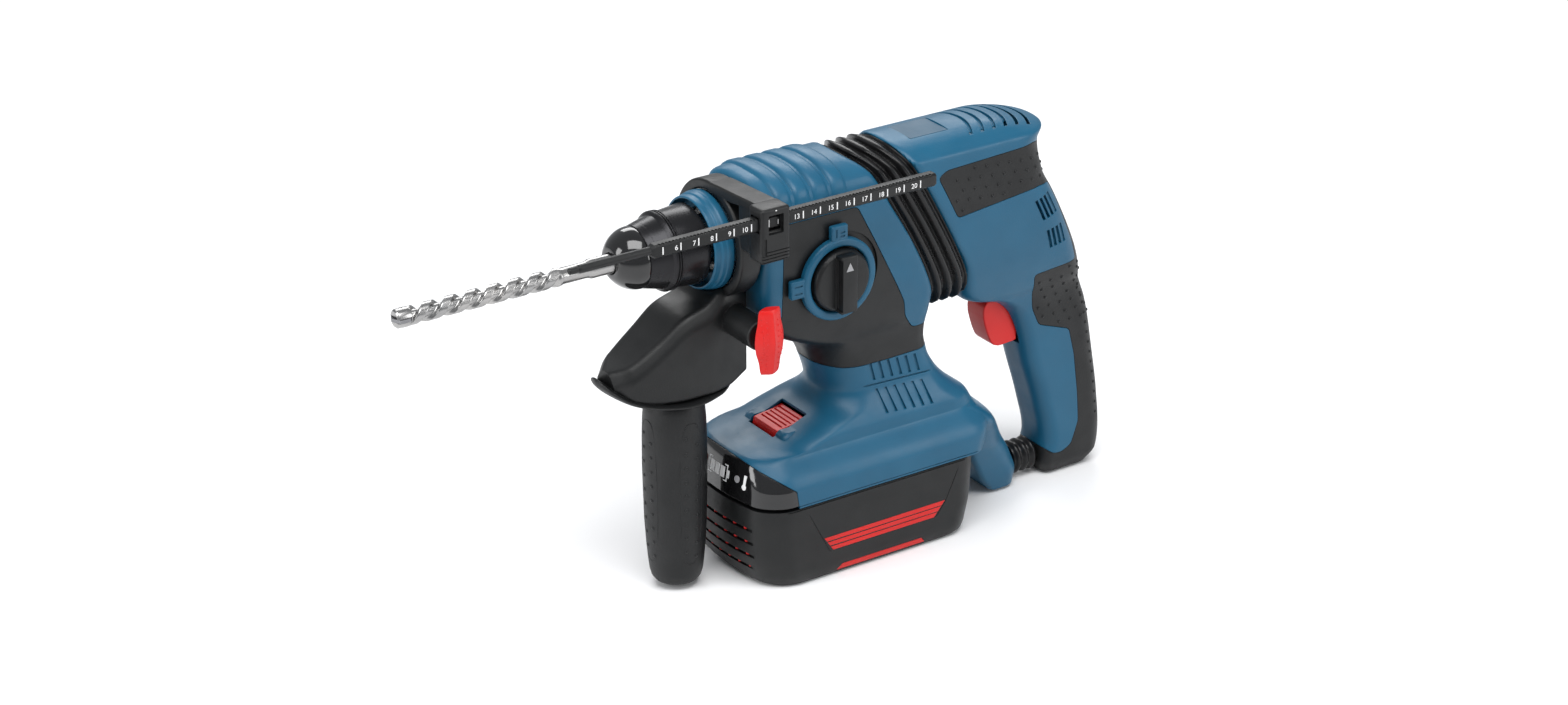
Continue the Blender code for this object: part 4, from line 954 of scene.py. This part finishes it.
def side_handle():
    """The bracket with its guard, the grip with its inlays, and the clamp band."""
    arm_rows = [(-4, -57, -66, 8), (4, -53, -71, 15), (20, -42.5, -75, 17.6), (34, -32.8, -76, 18.6),
                (46, -28.8, -76, 18.6),
                (57, -21, -75, 17.6), (69, -21, -70, 15.6)]
    loops = []
    for x, top, bottom, half in smooth_rows(arm_rows, 1.5):
        outline = softened([(-half + 4.5, top), (-half, top - 6), (-half, bottom), (half, bottom),
                            (half, top - 6), (half - 4.5, top)], 2.6, 5)
        loops.append([(x, y, z) for y, z in outline])
    arm = loft(loops)
    guard_rows = [(-10, -61.2, 1.5), (-9.2, -61.8, 5), (-6, -65, 10), (4, -71.5, 16.5),
                  (20, -76.5, 19.9), (36, -78.5, 21.3),
                  (52, -77, 18.9), (62, -74, 13), (67, -71.6, 6.5), (68.2, -71, 2)]
    loops = []
    for x, middle, half in smooth_rows(guard_rows, 1.2):
        thick = min(2.5, 0.8 + half * 0.3)
        loops.append([(x, half * math.cos(a), middle + thick * math.sin(a))
                      for a in np.linspace(0, 2 * math.pi, 48, endpoint=False)])
    guard = loft(loops)
    ring = rounded([(56.7, 25.6), (56.7, 29.6), (57.6, 30.4), (68.4, 30.4), (69.2, 29.6), (69.2, 25.6)],
                   0.5)
    plate_rows = []
    for y, low, high in ((-41.8, 28.6, 32.6), (-38, 28.6, 32.5), (-22, 26.4, 31.6), (-10, 26, 31),
                         (-2, 26, 30.4)):
        plate_rows.append([(56.3, y, low), (56.3, y, high - 0.8), (57.1, y, high), (68.7, y, high),
                           (69.5, y, high - 0.8), (69.5, y, low)])
    pieces = [
        loft(plate_rows),
        block((57, -41.8, 4), (69, -27, 30), 1.2),
        arm,
        guard,
        turned("y", (WING.x, 0, WING.z), rounded([(-41.4, 0), (-41.4, 8), (-8, 8), (-8, 0)], 1.0), 64),
        turned("z", (GRIP_X, 0, 0), [(-179, 0), (-179, 9), (-70, 9), (-70, 0)], 48),
    ]
    bracket = joined(turned("x", (0, 0, 0), ring, 96), *pieces)
    bolt_hole = turned("y", (WING.x, 0, WING.z), [(-60, 0), (-60, 4.1), (-21, 4.1), (-21, 0)], 32)
    collar_room = turned("x", (0, 0, 0), [(30, 0), (30, 25.6), (80, 25.6), (80, 0)], 96)
    bracket = cut(bracket, bolt_hole, collar_room)
    show("handle_bracket_body", bracket, BLACK, "side_handle", ["handle_bracket"],
         angle=34)

    profile = [(-81.6, 9.4), (-81.6, 14.8), (-82.4, 15.4), (-86, 15.7), (-92, 16.2), (-103, 16.55),
               (-115, 16.6), (-133, 16.35), (-150, 15.9), (-163, 15.2),
               (-172, 14.4), (-177, 13.8), (-180.4, 12.9), (-182.4, 11.5), (-183.5, 9), (-183.6, 6),
               (-183.6, 0), (-179.6, 0), (-179.6, 9.4)]
    sleeve = turned("z", (GRIP_X, 0, 0), profile, 96)
    tree = surface_tree(sleeve)
    show("grip_sleeve_rubber", sleeve, RUBBER, "side_handle", ["grip_sleeve"], angle=40)
    spots = []
    for face in range(4):
        around = math.radians(-90 + 90 * face)
        for column in (-0.2, 0.2):
            for row in range(9):
                angle = around + column
                direction = Vector((-math.cos(angle), -math.sin(angle), 0))
                start = Vector((GRIP_X, 0, -98 - 8 * row - (4 if column > 0 else 0))) - direction * 60
                spots.append((start, direction))
    show("grip_sleeve_studs", studs(tree, spots, 1.15, 0.5), RUBBER, "side_handle", (),
         angle=60)
    ovals = []
    for face in range(4):
        around = math.radians(-90 + 90 * face)
        run = []
        for step in range(64):
            turn = 2 * math.pi * step / 64
            angle = around + 0.42 * math.copysign(abs(math.cos(turn)) ** 0.6, math.cos(turn))
            z = -130 + 40 * math.copysign(abs(math.sin(turn)) ** 0.8, math.sin(turn))
            radius = np.interp(-z, [82, 92, 115, 150, 172], [15.4, 16.2, 16.6, 15.9, 14.4])
            run.append((angle, z, radius))
        loops = []
        for angle, z, radius in run:
            outward = Vector((math.cos(angle), math.sin(angle), 0))
            middle = Vector((GRIP_X, 0, z)) + outward * radius
            across = outward.cross(Vector((0, 0, 1)))
            loops.append([middle + outward * 0.22, middle + across * 0.4, middle - outward * 0.3,
                          middle - across * 0.4])
        ovals.append(loft(loops, closed=True))
    show("grip_sleeve_ovals", merged(ovals), RUBBER, "side_handle", (), angle=60)
    band = rounded([(57.5, 22.95), (57.5, 25.2), (68.5, 25.2), (68.5, 22.95)], 0.3)
    show("clamp_band_ring", turned("x", (0, 0, 0), band, 96), STEEL, "side_handle", ["clamp_band"])


def depth_stop():
    """The clamp block, and the depth rod with its scale in centimetres."""
    body = block((53, -54, 5), (69.6, -42.2, 33.4), 1.6, 4)
    hole = block((40, ROD_Y - 3.6, ROD_Z - 4), (90, ROD_Y + 3.6, ROD_Z + 4))
    window = block((57, -56, 20), (65.6, -51.6, 30), 0.6)
    notch = block((53.9, -56, 9.2), (55.9, -53.2, 18.4), 0.3)
    ribs = [block((52, -55, 5.9 + 1.7 * i), (71, -53.3, 6.5 + 1.7 * i)) for i in range(4)]
    show("depth_clamp_body", cut(body, hole, window, notch, *ribs), BLACK, "side_handle",
         ["depth_clamp_block"])
    show("depth_clamp_mark", block((60.9, -53.98, 30.8), (61.7, -53.0, 32.4)), WHITE, "side_handle", ())

    outline = [(-3, -2.4), (-1.9, -3.5), (1.9, -3.5), (3, -2.4), (3, 2.4), (1.9, 3.4), (-1.9, 3.4),
               (-3, 2.4)]
    rod = loft([[(x, ROD_Y + y * s, ROD_Z + z * s) for y, z in outline]
                for x, s in ((-6.5, 0.7), (-5, 1), (158.2, 1), (159, 0.9))])
    tip = loft([[(x, ROD_Y + 2.1 * s * math.cos(a), ROD_Z + 0.3 + 2.1 * s * math.sin(a))
                 for a in np.linspace(0, 2 * math.pi, 32, endpoint=False)]
                for x, s in ((-51, 0.55), (-50.6, 0.8), (-46, 0.8), (-45.4, 1), (-5, 1), (-4, 0.9))])
    rod = joined(rod, tip)
    teeth = []
    for index in range(80):
        x = -3 + 2 * index
        teeth.append(loft([[(x, y, 27.9), (x + 1, y, 27.9), (x + 1, y, 30), (x, y, 30)]
                           for y in (ROD_Y - 4, ROD_Y - 1.2)]))
    rod = cut(rod, merged(teeth))
    show("depth_rod_bar", rod, BLACK, "depth_rod", ["depth_rod"])
    marks = []
    for number in range(5, 21):
        x = CENTIMETRE * number + ROD_ZERO
        marks.append(block((x - 0.3, ROD_Y - 3.12, ROD_Z - 1.9), (x + 0.3, ROD_Y - 2.8, ROD_Z + 1.9)))
    show("depth_rod_ticks", merged(marks), WHITE, "depth_rod", ())
    digits = []
    for number in range(6, 21):
        curve = bpy.data.curves.new("digits", "FONT")
        curve.body = str(number)
        curve.size = 3.6
        curve.extrude = 0.08
        curve.align_x = "LEFT"
        holder = bpy.data.objects.new("digits", curve)
        bpy.context.scene.collection.objects.link(holder)
        graph = bpy.context.evaluated_depsgraph_get()
        mesh = bpy.data.meshes.new_from_object(holder.evaluated_get(graph))
        bpy.data.objects.remove(holder)
        back = 5.6 if number > 9 else 3.4
        place = Matrix.Translation((CENTIMETRE * number + ROD_ZERO - back, ROD_Y - 3.08,
                                    ROD_Z - 1.3)) @ Matrix.Rotation(math.pi / 2, 4, "X")
        mesh.transform(place)
        digits.append(mesh)
    show("depth_rod_numbers", merged(digits), WHITE, "depth_rod", ())


def wing_bolt():
    """The red wing bolt."""
    rows = [(-21.5, 55.2, 66.8, 2.6), (-23, 54.6, 67.4, 3.4), (-28, 54.2, 67.8, 4.2),
            (-33, 53.1, 68.9, 5.0), (-38.5, 52.5, 69.5, 5.5),
            (-44, 53.2, 68.9, 5.0), (-49, 54.7, 67.5, 4.2), (-54.4, 55.6, 66.6, 3.3),
            (-55.8, 56.2, 66, 2.5)]
    middle_y = WING.y - 6.2
    loops = []
    table = [(-z, f, r, d) for z, f, r, d in rows]
    for down, front, rear, depth in smooth_rows(table, 1.2):
        z = -down
        profile = [(front, 0), (front + 2.6, -0.62), (WING.x - 2.2, -0.72), (WING.x, -1),
                   (WING.x + 2.2, -0.72), (rear - 2.6, -0.62), (rear, 0),
                   (rear - 2.6, 0.62), (WING.x, 1), (front + 2.6, 0.62)]
        loops.append([(x, middle_y + s * depth, z) for x, s in profile])
    wing = loft(loops)
    tree = surface_tree(wing)
    shaft = turned("y", (WING.x, 0, WING.z), [(-48, 0), (-48, 3.6), (-24, 3.6), (-24, 0)], 32)
    show("wing_bolt_head", joined(wing, shaft), RED, "wing_bolt", ["wing_bolt"], angle=40)
    spots = []
    for row in range(10):
        for x in (55.6, 57.7, 64.3, 66.4):
            spots.append(((x, -80, -25.5 - 2.9 * row - (1.4 if x in (57.7, 64.3) else 0)), (0, 1, 0)))
    show("wing_bolt_grain", studs(tree, spots, 0.5, 0.28), RED, "wing_bolt", (), angle=60)


def inner_pieces():
    """Finishes for the pieces inside the housings, whose CAD shapes stay."""
    finishes = {
        "motor_armature": COPPER, "motor_fan": BLACK, "carbon_brush_left": BLACK,
        "carbon_brush_right": BLACK,
        "terminal_block": BLACK, "electronics_board": BOARD, "battery_cells": CELL, "switch_module": BLACK,
    }
    for name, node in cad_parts.items():
        node.data.materials.clear()
        node.data.materials.append(finishes.get(name, STEEL))


def studio():
    """The pale floor, the soft lights and the camera."""
    bpy.ops.mesh.primitive_plane_add(size=8, location=(0, 0, 0))
    floor = bpy.context.object
    floor.name = "floor"
    material, nodes, links = new_material("pale_floor")
    shader = nodes["Principled BSDF"]
    coords = nodes.new("ShaderNodeTexCoord")
    mix = nodes.new("ShaderNodeMix")
    mix.data_type = "RGBA"
    mix.inputs["A"].default_value = (0.86, 0.86, 0.86, 1)
    mix.inputs["B"].default_value = (0.83, 0.83, 0.84, 1)
    links.new(noise(nodes, links, coords, 3, 3), mix.inputs["Factor"])
    links.new(mix.outputs["Result"], shader.inputs["Base Color"])
    shader.inputs["Roughness"].default_value = 0.7
    floor.data.materials.append(material)
    world = bpy.data.worlds.new("studio")
    bpy.context.scene.world = world
    world.use_nodes = True
    world.node_tree.nodes["Background"].inputs["Color"].default_value = (0.93, 0.96, 1.0, 1)
    world.node_tree.nodes["Background"].inputs["Strength"].default_value = 0.42
    target = Vector((0.0, 0, 0.12))
    for place, size, power in (((-0.3, -0.5, 1.5), (1.3, 0.8), 24), ((-1.5, 0.2, 0.7), (0.5, 1.0), 11),
                               ((0.9, -1.2, 0.7), (0.5, 0.9), 8),
                               ((0.6, 1.2, 1.1), (1.2, 0.6), 12)):
        light = bpy.data.lights.new("softbox", "AREA")
        light.shape, light.size, light.size_y, light.energy = "RECTANGLE", *size, power
        lamp = bpy.data.objects.new("softbox", light)
        lamp.location = place
        lamp.rotation_euler = (target - Vector(place)).to_track_quat("-Z", "Y").to_euler()
        bpy.context.scene.collection.objects.link(lamp)
    camera = bpy.data.objects.new("camera", bpy.data.cameras.new("camera"))
    camera.data.lens, camera.data.sensor_width = 78.57, 36
    camera.location = (-0.9121, -1.3138, 0.8470)
    aim = Vector((-0.0279, 0, 0.11186)) - camera.location
    camera.rotation_euler = aim.to_track_quat("-Z", "Y").to_euler()
    bpy.context.scene.collection.objects.link(camera)
    bpy.context.scene.camera = camera
    bpy.context.scene.view_settings.view_transform = "Standard"


inner_pieces()
front_housings()
upper_bellows()
foot()
latch()
battery()
battery_panel()
rear_handle()
lower_bellows()
trigger()
chuck()
drill()
selector()
side_handle()
depth_stop()
wing_bolt()
studio()
